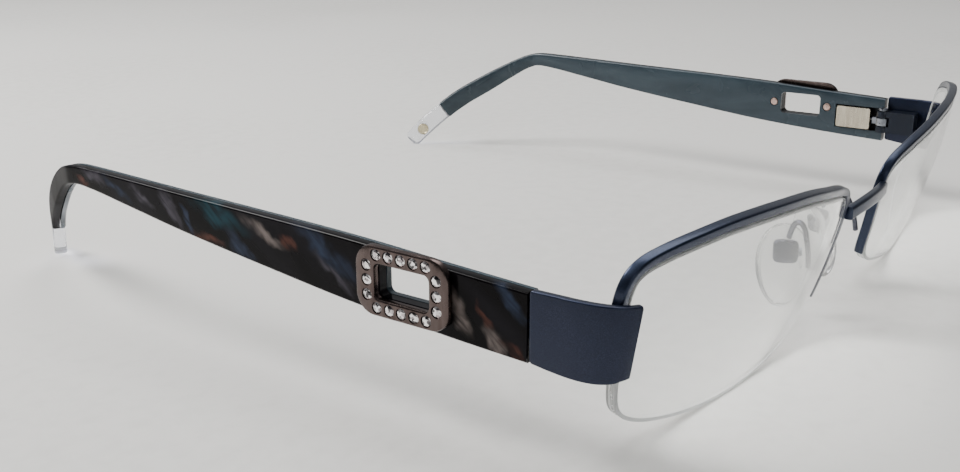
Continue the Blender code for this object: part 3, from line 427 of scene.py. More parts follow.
def soften_ends(rows, step, shrink=0.82):
    """Round a bar's ends: a smaller copy of the end section, the old one moved in by step."""
    def soft_end(end, neighbour):
        middle = end.mean(0)
        inward = neighbour.mean(0) - middle
        inward /= np.linalg.norm(inward)
        return [middle + (end - middle) * shrink, end + inward * step]

    return np.concatenate([soft_end(rows[0], rows[1]), rows[1:-1],
                           soft_end(rows[-1], rows[-2])[::-1]])


def beside_lens(first, last, section):
    """A bar carried along the lens edge; its section is (out from the edge, back of its middle)."""
    pick = np.arange(first, last + 1) % len(OUTLINE)
    section = np.asarray(section, float)
    spot = OUTLINE[pick][:, None, :] + OUTWARD[pick][:, None, :] * section[None, :, :1]
    line = on_blank(OUTLINE[pick, 0], OUTLINE[pick, 1], MID_EDGE)[:, 2]
    depth = line[:, None] - section[None, :, 1]
    return carry(np.dstack([spot, depth]), LENS_FRAME)


def rim_section():
    """Outer corners rounded, inner side with the liner's channel."""
    outer = rounded_profile((FIT, -RIM_HALF), (FIT + RIM_HEIGHT, RIM_HALF), 0.00032, 4)
    near = outer[:, 0] > FIT + RIM_HEIGHT / 2
    crown = outer[near]
    crown = crown[np.argsort(crown[:, 1])]
    slot, floor = RIM_SLOT_HALF, FIT + RIM_CHANNEL
    inner = [(FIT + RIM_BREAK, RIM_HALF), (FIT, RIM_HALF - RIM_BREAK), (FIT, slot), (floor, slot),
             (floor, -slot), (FIT, -slot), (FIT, -RIM_HALF + RIM_BREAK),
             (FIT + RIM_BREAK, -RIM_HALF)]
    return np.vstack([crown, inner])


navy_rim = pearl_paint("rim_paint", (0.016, 0.024, 0.050), (0.036, 0.052, 0.096), 0.30)
rim = soften_ends(beside_lens(0, RIM_LAST, rim_section()), 0.00012)
pair("painted_rim", skin(rim), navy_rim, "front", ["brow_rim"])

# ---- Liner and cord ----
# A clear nylon liner is pressed into the rim's channel, and a nylon cord is drawn tight round
# the lower edge; both show as thin pale lines beside the lens.

STRAND = 0.00024
CORD_TUCK = FINE
LINER_SHORT = CORD_TUCK + 4


def round_section(radius, middle, sides=10):
    """A circle about a point so far out from the lens edge."""
    angle = np.arange(sides) * 2 * math.pi / sides
    return np.stack([middle + radius * np.cos(angle), radius * np.sin(angle)], -1)


nylon, tree, shader = new_material("nylon", Base_Color=(0.93, 0.94, 0.93, 1), IOR=1.53,
                                   Transmission_Weight=0.55)
use_marks(tree, shader, 0.16, 0.34, 700.0, 0.00001)
lets_lamps_through(tree, shader, (0.80, 0.80, 0.79))
liner = soften_ends(beside_lens(LINER_SHORT, RIM_LAST - LINER_SHORT,
                                round_section(STRAND, 0.00004)), 0.0001)
pair("rim_liner_strand", skin(liner), nylon, "front", ["rim_liner"])
cord = soften_ends(beside_lens(RIM_LAST - CORD_TUCK, len(OUTLINE) + CORD_TUCK,
                               round_section(STRAND, -0.00025)), 0.0001)
pair("nylon_cord", skin(cord), nylon, "front", ["lens_cord"])

# ---- Endpieces ----
# A stamped plate wraps from the hinge line round the outer edge of the front, where the end of
# the rim is brazed behind it; painted with the rims, with softly broken edges.

HALF_WIDTH = 0.0700
PLATE_HALF = 0.0005
PLATE_HEIGHT = 0.0090
PLATE_TOP = HINGE_Z + PLATE_HEIGHT / 2 + 0.00025
PLATE_LEAN = 0.16
PLATE_CORNER = 0.00022
PLATE_PLAN = [(-0.5, 0.15, 0.0), (-0.5, 3.2, 0.4), (-0.5, 6.0, 0.6), (-0.75, 8.4, 0.6),
              (-1.35, 10.3, 0.4), (-2.2, 11.35, 0.1), (-3.1, 11.9, 0.0)]


def endpiece_shape():
    """A rounded section of plate thickness and height, carried along the plate's plan."""
    steps = 8
    plan = smooth_line(PLATE_PLAN, steps) * MM
    x, forward, drop = plan.T
    share = np.arange(len(plan)) / (len(plan) - 1)
    lean = PLATE_LEAN * share ** 2
    along = np.gradient(np.stack([x, -forward], -1), axis=0)
    along /= np.linalg.norm(along, axis=1)[:, None]
    outer = np.stack([-along[:, 1], along[:, 0]], -1)
    height = PLATE_HEIGHT + drop
    unit = rounded_profile((-PLATE_HALF, -0.5), (PLATE_HALF, 0.5), PLATE_CORNER, 3)
    tall = np.sign(unit[:, 1]) * 0.5
    trim = unit[:, 1] - tall
    z = PLATE_TOP - height[:, None] / 2 + tall[None, :] * height[:, None] + trim[None, :]
    off = unit[:, 0]
    px = HALF_WIDTH + x[:, None] + outer[:, :1] * off[None, :]
    py = (HINGE_Y - forward[:, None] + outer[:, 1:] * off[None, :]
          - lean[:, None] * (z - HINGE_Z))
    return soften_ends(np.stack([px, py, z], -1), 0.0002, 0.955)


navy_plate = pearl_paint("endpiece_paint", (0.010, 0.015, 0.036), (0.023, 0.033, 0.068), 0.42)
pair("wrap_plate", skin(endpiece_shape()), navy_plate, "front", ["endpiece"])

# ---- Hinges ----
# Spring hinges: a leaf with two knuckles on the endpiece, a slotted screw, and an eye on a
# sprung shank.  Turned and milled from nickel silver; the leaf is painted with the front, but its
# navy is kept darker than the rims' as painted shade for the dark hinge corner.

PIVOT_X = HALF_WIDTH - 0.0034
BEND = 0.0855
SPLAY = math.atan2(0.0016, BEND)
HINGE_FRAME = turn_matrix((PIVOT_X, HINGE_Y, 0), (0, 0, SPLAY))


def brushed_metal(name, deep, bright, low, high, scale=2200.0, stretch=(1, 0.06, 1)):
    """Metal with fine drawn lines: a stretched noise varies its colour, roughness and height."""
    made, tree, shader = new_material(name, Metallic=1.0)
    where = add_node(tree, "ShaderNodeTexCoord").outputs["Object"]
    drawn = add_node(tree, "ShaderNodeMapping", [(where, "Vector")])
    drawn.inputs["Scale"].default_value = stretch
    lines = add_node(tree, "ShaderNodeTexNoise", [(drawn.outputs[0], "Vector")], Scale=scale,
                     Detail=5.0)
    cloud = add_node(tree, "ShaderNodeTexNoise", [(where, "Vector")], Scale=500.0, Detail=2.0)
    colour = add_ramp(tree, lines.outputs["Fac"], [(0.3, deep), (0.7, bright)])
    tree.links.new(colour, shader.inputs["Base Color"])
    rough = add_node(tree, "ShaderNodeMapRange", [(cloud.outputs["Fac"], "Value")],
                     From_Min=0.3, From_Max=0.7, To_Min=low, To_Max=high)
    tree.links.new(rough.outputs["Result"], shader.inputs["Roughness"])
    relief = add_node(tree, "ShaderNodeBump", [(lines.outputs["Fac"], "Height")], Strength=0.2,
                      Distance=0.00001)
    tree.links.new(relief.outputs["Normal"], shader.inputs["Normal"])
    return made


def refinish(finish, *nodes):
    """Give CAD nodes of both sides a finish in place of their plain one."""
    for side in ("left_", "right_"):
        for node in nodes:
            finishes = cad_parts[side + node].data.materials
            finishes.clear()
            finishes.append(finish)


# The leaf's navy is a darker copy of the rim paint: painted shade, standing in for the shadow in
# the hinge corner.
navy_hinge_with_painted_shade = pearl_paint("hinge_paint", (0.008, 0.012, 0.022), (0.022, 0.030, 0.050), 0.40)
steel = brushed_metal("hinge_steel", (0.22, 0.235, 0.27), (0.36, 0.38, 0.42), 0.24, 0.42)
refinish(navy_hinge_with_painted_shade, "hinge_leaf")
refinish(steel, "hinge_screw", "hinge_eye", "hinge_spring", "pad_screw")

# ---- Temples: layers ----
# Each temple is cut from two laminated sheets of acetate, a dark marbled one outside and a
# slate-teal one inside, then tumbled to a high gloss and bent down behind the ear.

SHELL = 0.00125
GLUE = 0.00020
INNER_FACE = 0.0011
OUTER_FACE = 0.0034
THICKNESS = 0.0023
TUCK_RUN = 0.0283
TIP_TUCK = 0.0142
TIP_FROM = BEND + 0.0213
TEMPLE_LINE = [(0.0, 16.70, 4.40), (12.3, 17.25, 4.40), (25.8, 18.05, 4.30), (37.3, 18.80, 3.90),
               (57.3, 20.15, 2.95), (70.0, 21.20, 2.20), (79.0, 21.95, 1.65), (84.3, 22.10, 1.45),
               (88.0, 21.20, 1.50), (92.3, 18.90, 1.75), (97.0, 15.95, 2.00), (102.8, 12.15, 2.10),
               (107.3, 8.30, 2.10), (111.0, 4.55, 2.10), (113.6, 1.45, 2.00)]


def temple_stations(first, last):
    """Points, outward and upward directions and half heights between two places along y."""
    line = smooth_line(TEMPLE_LINE, FINE) * MM
    y, z, half = line.T
    past = np.maximum(y - BEND, 0) / TUCK_RUN
    x = OUTER_FACE - TIP_TUCK * past ** 1.3 * math.cos(SPLAY)
    point = np.stack([x, y, z], -1)
    along = np.gradient(point, axis=0)
    along[0] = (0, 1, 0)
    out = np.stack([along[:, 1], -along[:, 0], np.zeros(len(y))], -1)
    out /= np.linalg.norm(out, axis=1)[:, None]
    along /= np.linalg.norm(along, axis=1)[:, None]
    up = np.cross(out, along)
    table = np.column_stack([point, out, up, half])
    places = np.concatenate([[first], y[(y > first + 0.0002) & (y < last - 0.0002)], [last]])
    made = np.stack([np.interp(places, y, column) for column in table.T], -1)
    return made[:, :3], made[:, 3:6], made[:, 6:9], made[:, 9]


def layer_rows(first, last, near, far, round_near, round_far):
    """Rings of a layer: depth runs in from the outer face, and the edges are quarter rounds."""
    point, out, up, half = temple_stations(first, last)
    quarter = np.linspace(0, math.pi / 2, 5)
    a, b = round_near, round_far
    top = np.concatenate([
        np.stack([near + a - a * np.cos(quarter), a - a * np.sin(quarter)], -1),
        np.stack([far - b + b * np.sin(quarter), b - b * np.cos(quarter)], -1)])
    sides = np.concatenate([np.ones(len(top)), -np.ones(len(top))])
    section = np.concatenate([top, top[::-1]])
    depth, trim = section.T
    reach = sides[None, :] * (half[:, None] - trim[None, :])
    return (point[:, None, :] - out[:, None, :] * depth[None, :, None]
            + up[:, None, :] * reach[:, :, None])


def rod(radius, low, high, centre, axis="x", sides=24):
    """A straight round bar, as two rings, along one axis through its centre."""
    angle = np.arange(sides) * 2 * math.pi / sides
    ring = np.stack([radius * np.cos(angle), radius * np.sin(angle)], -1)
    ends = [np.insert(ring, "xyz".index(axis), place, axis=1) for place in (low, high)]
    return np.array(ends) + np.asarray(centre)


def plate_tool(outline, low, high):
    """An outline in the temple's side view (y, z), pushed through from low to high in x."""
    return np.array([np.insert(outline, 0, x, axis=1) for x in (low, high)])


def cut_shape(shape, tools, bevel=0.0):
    """Cut tool rows from a shape and give back its points and faces."""
    piece = build_mesh("work", *shape, None)
    cutters = [build_mesh("cutter", *skin(rows), None) for rows in tools]
    for cutter in cutters:
        step = piece.modifiers.new("cut", "BOOLEAN")
        step.operation = "DIFFERENCE"
        step.solver = "EXACT"
        step.object = cutter
    if bevel:
        step = piece.modifiers.new("broken edges", "BEVEL")
        step.width = bevel
        step.segments = 2
        step.limit_method = "ANGLE"
        step.angle_limit = math.radians(50)
    bpy.context.view_layer.update()
    ready = piece.evaluated_get(bpy.context.evaluated_depsgraph_get())
    mesh = bpy.data.meshes.new_from_object(ready)
    flat = np.empty(len(mesh.vertices) * 3)
    mesh.vertices.foreach_get("co", flat)
    faces = [list(polygon.vertices) for polygon in mesh.polygons]
    for old in [piece] + cutters:
        bpy.data.objects.remove(old, do_unlink=True)
    return flat.reshape(-1, 3), faces


def placed(shape, matrix):
    """A shape with its points carried to the row frame."""
    return carry(shape[0], matrix), shape[1]


WINDOW = (0.0179, 0.0182)                # middle of the window, y and z
WINDOW_SIZE = (0.0086, 0.0046)
WINDOW_CORNER = 0.0008
PIN_REACH = 0.0058
PIN_HOLE = 0.00075
RIVET_SINK = 0.00093
SINK_DEPTH = 0.00055
TEMPLE_START = 0.00015
TUMBLED = 0.00038                        # edge rounding of an outer face, and of a glued one
SHARP = 0.00004
HOUSING_START = 0.0028
HOUSING_LENGTH = 0.0070
HOUSING_HALF = 0.0022
HOUSING_PROUD = 0.00045
HOUSING_THICKNESS = 0.0018
POCKET_END = HOUSING_START + HOUSING_LENGTH + 0.0004
POCKET_HALF = HOUSING_HALF + FIT
POCKET_FLOOR = INNER_FACE - HOUSING_PROUD + HOUSING_THICKNESS + FIT


def centred(size, corner, middle, steps=6):
    """Outline of a round-cornered rectangle about a middle."""
    half = np.asarray(size) / 2
    return rounded_profile(np.asarray(middle) - half, np.asarray(middle) + half, corner, steps)


def box_tool(low, high, near, far):
    """A plain box between two corners of the side view (y, z), from near to far in x."""
    return plate_tool(np.array([low, (high[0], low[1]), high, (low[0], high[1])]), near, far)


window_tool = plate_tool(centred(WINDOW_SIZE, WINDOW_CORNER, WINDOW), -0.01, 0.02)
pocket_tool = box_tool((-0.002, HINGE_Z - POCKET_HALF), (POCKET_END, HINGE_Z + POCKET_HALF),
                       -0.004, POCKET_FLOOR)
pin_spots = [(0, WINDOW[0] - PIN_REACH, WINDOW[1]), (0, WINDOW[0] + PIN_REACH, WINDOW[1])]
pin_tools = [rod(PIN_HOLE, -0.002, 0.01, spot) for spot in pin_spots]
sink_tools = [rod(RIVET_SINK, INNER_FACE - 0.001, INNER_FACE + SINK_DEPTH, spot)
              for spot in pin_spots]
shell = cut_shape(skin(layer_rows(TEMPLE_START, TIP_FROM, 0.0, SHELL, TUMBLED, SHARP)),
                  [pocket_tool, window_tool] + pin_tools)
lining = cut_shape(skin(layer_rows(TEMPLE_START, TIP_FROM, SHELL + GLUE, THICKNESS, SHARP,
                                   TUMBLED)),
                   [pocket_tool, window_tool] + pin_tools + sink_tools)


LILAC = (0.070, 0.064, 0.080)
TEAL = (0.012, 0.046, 0.062)
BLUE = (0.026, 0.036, 0.064)
CREAM = (0.175, 0.145, 0.135)
RUST = (0.086, 0.034, 0.025)
# Folds of pearl along the bar, at the bend and in front of the buckle, placed to the nearest half
# millimetre: the middle's y and z, half length and half width in mm, lean in degrees, colour.
FOLDS = [(14, 20.5, 3, 0.8, 50, LILAC), (10.5, 19.5, 2, 0.5, 50, BLUE),
         (4, 21, 5, 1.2, 12, TEAL), (6.5, 17.5, 3, 0.8, 10, RUST), (0, 17.5, 3, 0.9, 35, BLUE),
         (-4.5, 20.5, 3.5, 0.7, 20, CREAM), (-9, 20, 1.5, 0.8, 20, RUST),
         (-16, 20, 5.5, 1.1, 28, BLUE), (-17.5, 17.5, 3.5, 0.7, 30, LILAC),
         (32, 22.5, 2.5, 0.8, 15, LILAC), (26, 21.5, 3, 0.7, 18, BLUE),
         (34.5, 21.5, 1.5, 0.5, 10, RUST), (20, 21, 2.5, 0.5, 35, LILAC),
         (-37.5, 16.5, 3, 0.8, 65, CREAM), (-41, 17, 1.5, 0.5, 60, RUST),
         (-45, 19.5, 3, 0.8, 40, BLUE), (-42.5, 13.5, 2.5, 0.7, 60, CREAM),
         (-45, 13, 2, 0.7, 25, RUST)]


def marbled_acetate():
    """Near-black acetate; each fold is a soft leaning ellipse, warped and broken into streaks."""
    made, tree, shader = new_material("marbled_acetate", IOR=1.45, Specular_IOR_Level=0.09)
    where = add_node(tree, "ShaderNodeTexCoord").outputs["Object"]
    turned = add_node(tree, "ShaderNodeVectorRotate", [(where, "Vector")], rotation_type="X_AXIS")
    turned.inputs["Angle"].default_value = math.radians(-40)
    lean = add_node(tree, "ShaderNodeMapping", [(turned.outputs[0], "Vector")])
    lean.inputs["Scale"].default_value = (0.3, 0.30, 1.4)
    streak = add_node(tree, "ShaderNodeTexNoise", [(lean.outputs[0], "Vector")], Scale=620.0,
                      Detail=3.0, Distortion=0.9)
    broken = add_ramp(tree, streak.outputs["Fac"], [(0.30, 0.22), (0.62, 1.0)])
    folded = add_node(tree, "ShaderNodeTexNoise", [(where, "Vector")], Scale=240.0, Detail=2.5)
    offset = add_node(tree, "ShaderNodeVectorMath", [(folded.outputs["Color"], 0)],
                      operation="MULTIPLY_ADD")
    offset.inputs[1].default_value = (0, 0.0042, 0.0042)
    offset.inputs[2].default_value = (0, -0.0021, -0.0021)
    warped = add_node(tree, "ShaderNodeVectorMath", [(where, 0), (offset.outputs[0], 1)],
                      operation="ADD").outputs[0]
    haze = add_node(tree, "ShaderNodeTexNoise", [(lean.outputs[0], "Vector")], Scale=150.0,
                    Detail=2.0)
    colour = add_ramp(tree, haze.outputs["Fac"], [(0.45, (0.0026, 0.0021, 0.0026)),
                                                  (0.75, (0.0095, 0.0085, 0.0115))])
    for y, z, length, width, tilt, pearl in FOLDS:
        spot = add_node(tree, "ShaderNodeMapping", [(warped, "Vector")], vector_type="TEXTURE")
        spot.inputs["Location"].default_value = (0, y * MM, z * MM)
        spot.inputs["Rotation"].default_value = (math.radians(tilt), 0, 0)
        spot.inputs["Scale"].default_value = (10.0, length * MM, width * MM)
        reach = add_node(tree, "ShaderNodeVectorMath", [(spot.outputs[0], 0)], operation="LENGTH")
        share = add_node(tree, "ShaderNodeMapRange", [(reach.outputs["Value"], "Value")],
                         interpolation_type="SMOOTHSTEP", From_Min=1.55, From_Max=0.10)
        mask = add_node(tree, "ShaderNodeMath", [(share.outputs["Result"], 0), (broken, 1)],
                        operation="MULTIPLY")
        mix = add_node(tree, "ShaderNodeMix", [(mask.outputs[0], 0)], data_type="RGBA")
        tree.links.new(colour, mix.inputs[6])
        mix.inputs[7].default_value = (*pearl, 1)
        colour = mix.outputs[2]
    tree.links.new(colour, shader.inputs["Base Color"])
    use_marks(tree, shader, 0.10, 0.20, 110.0, 0.00002)
    polish = shader.inputs["Roughness"].links[0].from_socket
    back = add_node(tree, "ShaderNodeSeparateXYZ", [(where, "Vector")]).outputs["Y"]
    worn = add_node(tree, "ShaderNodeMapRange", [(back, "Value")], From_Min=0.030, From_Max=0.048,
                    To_Min=0.0, To_Max=0.42)
    rough = add_node(tree, "ShaderNodeMath", [(polish, 0), (worn.outputs["Result"], 1)],
                     operation="ADD")
    tree.links.new(rough.outputs[0], shader.inputs["Roughness"])
    return made


def slate_acetate():
    """Slate-teal acetate with a faint grain along the temple."""
    made, tree, shader = new_material("lining_acetate", IOR=1.45, Specular_IOR_Level=0.4)
    where = add_node(tree, "ShaderNodeTexCoord").outputs["Object"]
    drawn = add_node(tree, "ShaderNodeMapping", [(where, "Vector")])
    drawn.inputs["Scale"].default_value = (1, 0.25, 1)
    grain = add_node(tree, "ShaderNodeTexNoise", [(drawn.outputs[0], "Vector")], Scale=260.0,
                     Detail=5.0, Distortion=0.5)
    tree.links.new(add_ramp(tree, grain.outputs["Fac"], [(0.3, (0.021, 0.035, 0.047)),
                                                         (0.75, (0.046, 0.067, 0.083))]),
                   shader.inputs["Base Color"])
    use_marks(tree, shader, 0.20, 0.32, 90.0, 0.00002)
    return made


pair("marbled_layer", placed(shell, HINGE_FRAME), marbled_acetate(), "temple",
     ["temple_shell"])
pair("inner_layer", placed(lining, HINGE_FRAME), slate_acetate(), "temple",
     ["temple_lining"])

# ---- Spring housings ----
# A small milled box let into the inner face holds the spring; its cover, a little proud of the
# acetate, is polished and plated in pale champagne.

HOUSING_LOW = (INNER_FACE - HOUSING_PROUD, HOUSING_START, HINGE_Z - HOUSING_HALF)
HOUSING_HIGH = (HOUSING_LOW[0] + HOUSING_THICKNESS, HOUSING_START + HOUSING_LENGTH,
                HINGE_Z + HOUSING_HALF)
HOUSING_WALL = 0.00025
NOSE = 0.0009
HOLLOW_HALF = 0.0009
BORE_RADIUS = 0.00034


def housing_shape():
    """A box with a round-cornered face, hollow behind, and a bore in its nose for the shank."""
    lo, hi = np.array(HOUSING_LOW), np.array(HOUSING_HIGH)
    face = rounded_profile(lo[1:], hi[1:], 0.00035, 4)
    body = plate_tool(face, lo[0], hi[0])
    hollow = box_tool((lo[1] + NOSE, HINGE_Z - HOLLOW_HALF),
                      (hi[1] + 0.001, HINGE_Z + HOLLOW_HALF),
                      lo[0] + HOUSING_WALL, hi[0] - HOUSING_WALL)
    bore = rod(BORE_RADIUS, lo[1] - 0.001, lo[1] + 0.0014,
               ((lo[0] + hi[0]) / 2, 0, HINGE_Z), "y", 16)
    return cut_shape(skin(body), [hollow, bore], 0.00008)


champagne = brushed_metal("cover_plate", (0.50, 0.45, 0.36), (0.70, 0.64, 0.52), 0.20, 0.34,
                          3000.0, (1, 1, 0.08))
pair("cover_box", placed(housing_shape(), HINGE_FRAME), champagne, "temple",
     ["spring_housing"], crease=14)

# ---- Buckles and pins ----
# A die-cast frame round the window, gunmetal plated, with polished broken edges and sixteen
# seats; two copper-plated pins hold it through the temple and are riveted over inside.

BUCKLE_HALF = 0.000475                   # half its thickness
BUCKLE_MIDDLE = OUTER_FACE + FIT + BUCKLE_HALF
BUCKLE_BAR = 0.0030
BUCKLE_RAIL = 0.00235
BUCKLE_SIZE = (WINDOW_SIZE[0] + 2 * BUCKLE_BAR, WINDOW_SIZE[1] + 2 * BUCKLE_RAIL)
BUCKLE_CORNER = 0.0028
BUCKLE_BEVEL = 0.00028
STONE_PITCH = 0.00195
SEAT_REACH = ((WINDOW_SIZE[0] + BUCKLE_BAR) / 2 - 0.0003, (WINDOW_SIZE[1] + BUCKLE_RAIL) / 2)
SEAT_RADIUS = 0.00081
SEAT_SINK = 0.00018


def buckle_rows():
    """Rings from the outer wall over the bevel and the top to the inner wall, closed behind."""
    size = np.array(BUCKLE_SIZE)
    hole = np.array(WINDOW_SIZE)
    back, front = BUCKLE_MIDDLE - BUCKLE_HALF, BUCKLE_MIDDLE + BUCKLE_HALF
    steps = [(0.0, back + 0.0001), (0.0, front - BUCKLE_BEVEL), (0.00010, front - 0.00010),
             (BUCKLE_BEVEL, front)]
    heel = [(0.0001, back)]
    rings = [(x, centred(size - 2 * inset, BUCKLE_CORNER - inset, WINDOW, 8))
             for inset, x in heel + steps]
    rings += [(x, centred(hole + 2 * inset, WINDOW_CORNER + inset, WINDOW, 8))
              for inset, x in steps[::-1] + heel]
    return np.array([np.insert(ring, 0, x, axis=1) for x, ring in rings])


def stone_places():
    """Middles of the sixteen stones: five along each rail and three up each bar."""
    x, y = SEAT_REACH
    along = STONE_PITCH * np.arange(-2, 3)
    upright = STONE_PITCH * np.arange(-1, 2)
    rails = [(a, s * y) for a in along for s in (1, -1)]
    bars = [(s * x, b) for b in upright for s in (1, -1)]
    return np.array(rails + bars) + WINDOW


seat_tools = [rod(SEAT_RADIUS, BUCKLE_MIDDLE - SEAT_SINK, OUTER_FACE + 0.003, (0, y, z), "x", 20)
              for y, z in stone_places()]
buckle = cut_shape(skin(buckle_rows(), closed=True), seat_tools)
gunmetal = brushed_metal("gunmetal", (0.082, 0.062, 0.058), (0.125, 0.097, 0.091), 0.20, 0.30,
                         1500.0, (1, 1, 0.15))
pair("jewelled_frame", placed(buckle, HINGE_FRAME), gunmetal, "temple", ["buckle"],
     crease=30)


def pin_rows(spot):
    """A pin with a flat-domed head: radius and place along x step from the head to the end."""
    profile = [(0.00040, INNER_FACE - 0.00010), (0.00070, INNER_FACE - 0.00006),
               (0.00078, INNER_FACE + 0.00004), (0.00078, INNER_FACE + 0.00040),
               (0.00060, INNER_FACE + 0.00041), (0.00060, OUTER_FACE)]
    return np.array([rod(r, x, x, spot)[0] for r, x in profile])


copper = brushed_metal("pin_copper", (0.50, 0.34, 0.29), (0.72, 0.54, 0.48), 0.22, 0.38, 2600.0,
                       (1, 1, 1))
for label, spot in zip(("front", "rear"), pin_spots):
    pair("rivet_" + label, placed(skin(pin_rows(spot)), HINGE_FRAME), copper,
         "temple", ["buckle_pin_" + label])

# ---- Stones ----
# Sixteen round brilliants in each frame, glass with silvered backs, set in cement flush with the
# metal; their bright and dark facet glints are painted into the colour as small white, grey and
# near-black cells.

STONE_RADIUS = 0.00078
STONE_SINK = 0.00012


def stone_rows(y, z, turn):
    """Table, crown, girdle, pavilion and culet as eight-sided rings, some turned half a side."""
    front = BUCKLE_MIDDLE + BUCKLE_HALF
    levels = [(0.52, 0.00016, 0.5), (0.80, 0.00009, 0.0), (1.0, -0.00004, 0.5),
              (1.0, -0.00008, 0.5), (0.25, -0.00052, 0.0)]
    rows = []
    for share, height, phase in levels:
        angle = (np.arange(8) + phase) * math.pi / 4 + turn
        r = STONE_RADIUS * share
        rows.append(np.stack([np.full(8, front + height - STONE_SINK), y + r * np.cos(angle),
                              z + r * np.sin(angle)], -1))
    return np.array(rows)


def stone_set():
    """All sixteen stones as one set of closed solids."""
    points, faces, base = [], [], 0
    for k, (y, z) in enumerate(stone_places()):
        some, quads = skin(stone_rows(y, z, 0.37 * k))
        points.append(some)
        faces += [[i + base for i in f] for f in quads]
        base += len(some)
    return np.vstack(points), faces


crystal, tree, shader = new_material("crystal", Metallic=0.9, IOR=1.55, Coat_Weight=1.0,
                                     Coat_Roughness=0.02)
where = add_node(tree, "ShaderNodeTexCoord").outputs["Object"]
# Painted glints and reflections: small cells of near-black, grey and white in the base colour stand
# in for the stones' bright and dark facets.
painted_glint_cells = add_node(tree, "ShaderNodeTexVoronoi", [(where, "Vector")], Scale=2600.0)
tree.links.new(add_ramp(tree, painted_glint_cells.outputs["Color"], [(0.28, (0.03, 0.027, 0.03)),
                                                       (0.46, (0.42, 0.37, 0.38)),
                                                       (0.62, (1.0, 0.97, 0.97))]),
               shader.inputs["Base Color"])
use_marks(tree, shader, 0.03, 0.12, 900.0, 0)
pair("brilliants", placed(stone_set(), HINGE_FRAME), crystal, "temple", ["crystals"],
     crease=0)

# ---- Temple tips and discs ----
# The last centimetre of each temple is water-clear acetate, welded on and rounded over; a small
# blank gilt disc is let into its inner face.

TIP_END = 0.1136
TIP_ROUND = 0.0007
DISC_SEAT = 0.00152
DISC_FROM_WELD = 0.0048


def tip_shape():
    """The temple's section run on to a shorter, rounded end, then ground flat on the table."""
    rows = layer_rows(TIP_FROM + FIT, TIP_END, 0.0, THICKNESS, TIP_ROUND, TIP_ROUND)
    along = rows[-1].mean(0) - rows[-3].mean(0)
    along /= np.linalg.norm(along)
    middle = rows[-1].mean(0)
    ends = [(0.0004, 0.97), (0.0008, 0.88), (0.00105, 0.74)]
    caps = [middle + along * step + (rows[-1] - middle) * share for step, share in ends]
    rows = np.concatenate([rows, caps])
    sink = carry(rod(DISC_SEAT, -0.0005, 0.002, (0, 0, 0), "z", 32), disc_frame())
    flat_foot = box_tool((0.08, -0.01), (0.14, 0.0), -0.04, 0.02)
    return cut_shape(skin(rows), [sink, flat_foot])


def disc_frame():
    """The disc's own frame, on the inner face of the tip and facing in."""
    point, out = temple_stations(TIP_FROM + DISC_FROM_WELD, TIP_END)[:2]
    inward = Vector(-out[0] / np.linalg.norm(out[0]))
    spot = Vector(point[0]) + inward * THICKNESS
    return turn_matrix(spot, inward.to_track_quat("Z", "Y").to_euler())


clear, tree, shader = new_material("clear_acetate", Base_Color=(0.93, 0.945, 0.985, 1), IOR=1.48,
                                   Transmission_Weight=0.93)
use_marks(tree, shader, 0.05, 0.15, 180.0, 0.00003)
lets_lamps_through(tree, shader, (0.72, 0.73, 0.80))
pair("clear_tip", placed(tip_shape(), HINGE_FRAME), clear, "temple",
     ["temple_tip"])

gilt = brushed_metal("tip_disc", (0.50, 0.44, 0.29), (0.74, 0.67, 0.48), 0.22, 0.36, 2500.0,
                     (1, 1, 1))
disc_profile = [(0.00136, -0.00030), (0.00140, -0.00026), (0.00140, -0.00008), (0.00130, 0.0),
                (0.00112, 0.0), (0.00104, -0.00008)]
disc_rows = np.array([rod(r, z, z, (0, 0, 0), "z", 36)[0] for r, z in disc_profile])
pair("gilt_disc", placed(skin(carry(disc_rows, disc_frame())), HINGE_FRAME), gilt,
     "temple", ["tip_disc"])

# ---- Bridge ----
# A short drawn bar, arched and bowed forward, brazed between the two rims and painted with them.

BRIDGE_HALF = 0.0086
BRIDGE_Y = HINGE_Y - LENS_FORWARD - 0.0003
BRIDGE_Z = 0.0182
BRIDGE_ARCH = 0.0006
BRIDGE_BOW = 0.0009


def bridge_rows():
    """A rounded bar: rise and bow both follow 1 - (x / half)^2."""
    x = np.linspace(-1, 1, 41) * BRIDGE_HALF
    rise = 1 - (x / BRIDGE_HALF) ** 2
    slope = np.gradient(BRIDGE_ARCH * rise, x)
    up = np.stack([-slope, np.zeros_like(x), np.ones_like(x)], -1)
    up /= np.linalg.norm(up, axis=1)[:, None]
    middle = np.stack([x, BRIDGE_Y - BRIDGE_BOW * rise, BRIDGE_Z + BRIDGE_ARCH * rise], -1)
    section = rounded_profile((-0.0007, -0.00105), (0.0007, 0.00105), 0.00045, 5)
    return (middle[:, None, :] + up[:, None, :] * section[None, :, 1:]
            + np.array([0, 1.0, 0])[None, None, :] * section[None, :, :1])


bar = build_mesh("bridge_bar", *skin(bridge_rows()), navy_rim)
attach(bar, "front")
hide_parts("bridge")

# ---- Pad arms and boxes ----
# Nickel-silver wire bent in a hook from the back of each nasal bar, with a pressed box brazed to
# its end; the box is open towards the nose and takes the pad's tab and cross screw.

PAD_POINT = (0.0093, HINGE_Y - 0.0082, 0.0108)
PAD_FRAME = turn_matrix(PAD_POINT, (0, math.radians(12), math.pi - math.radians(24)))
ARM_ROUTE = [(2.1, 4.3, -1.2), (1.8, 4.0, 0.8), (1.4, 3.4, 3.0), (0.9, 2.7, 4.6), (0.5, 1.8, 5.1),
             (0.2, 0.9, 4.3), (0.0, 0.3, 2.2)]
WIRE_RADIUS = 0.00042
SCREW_HOLE = 0.00045


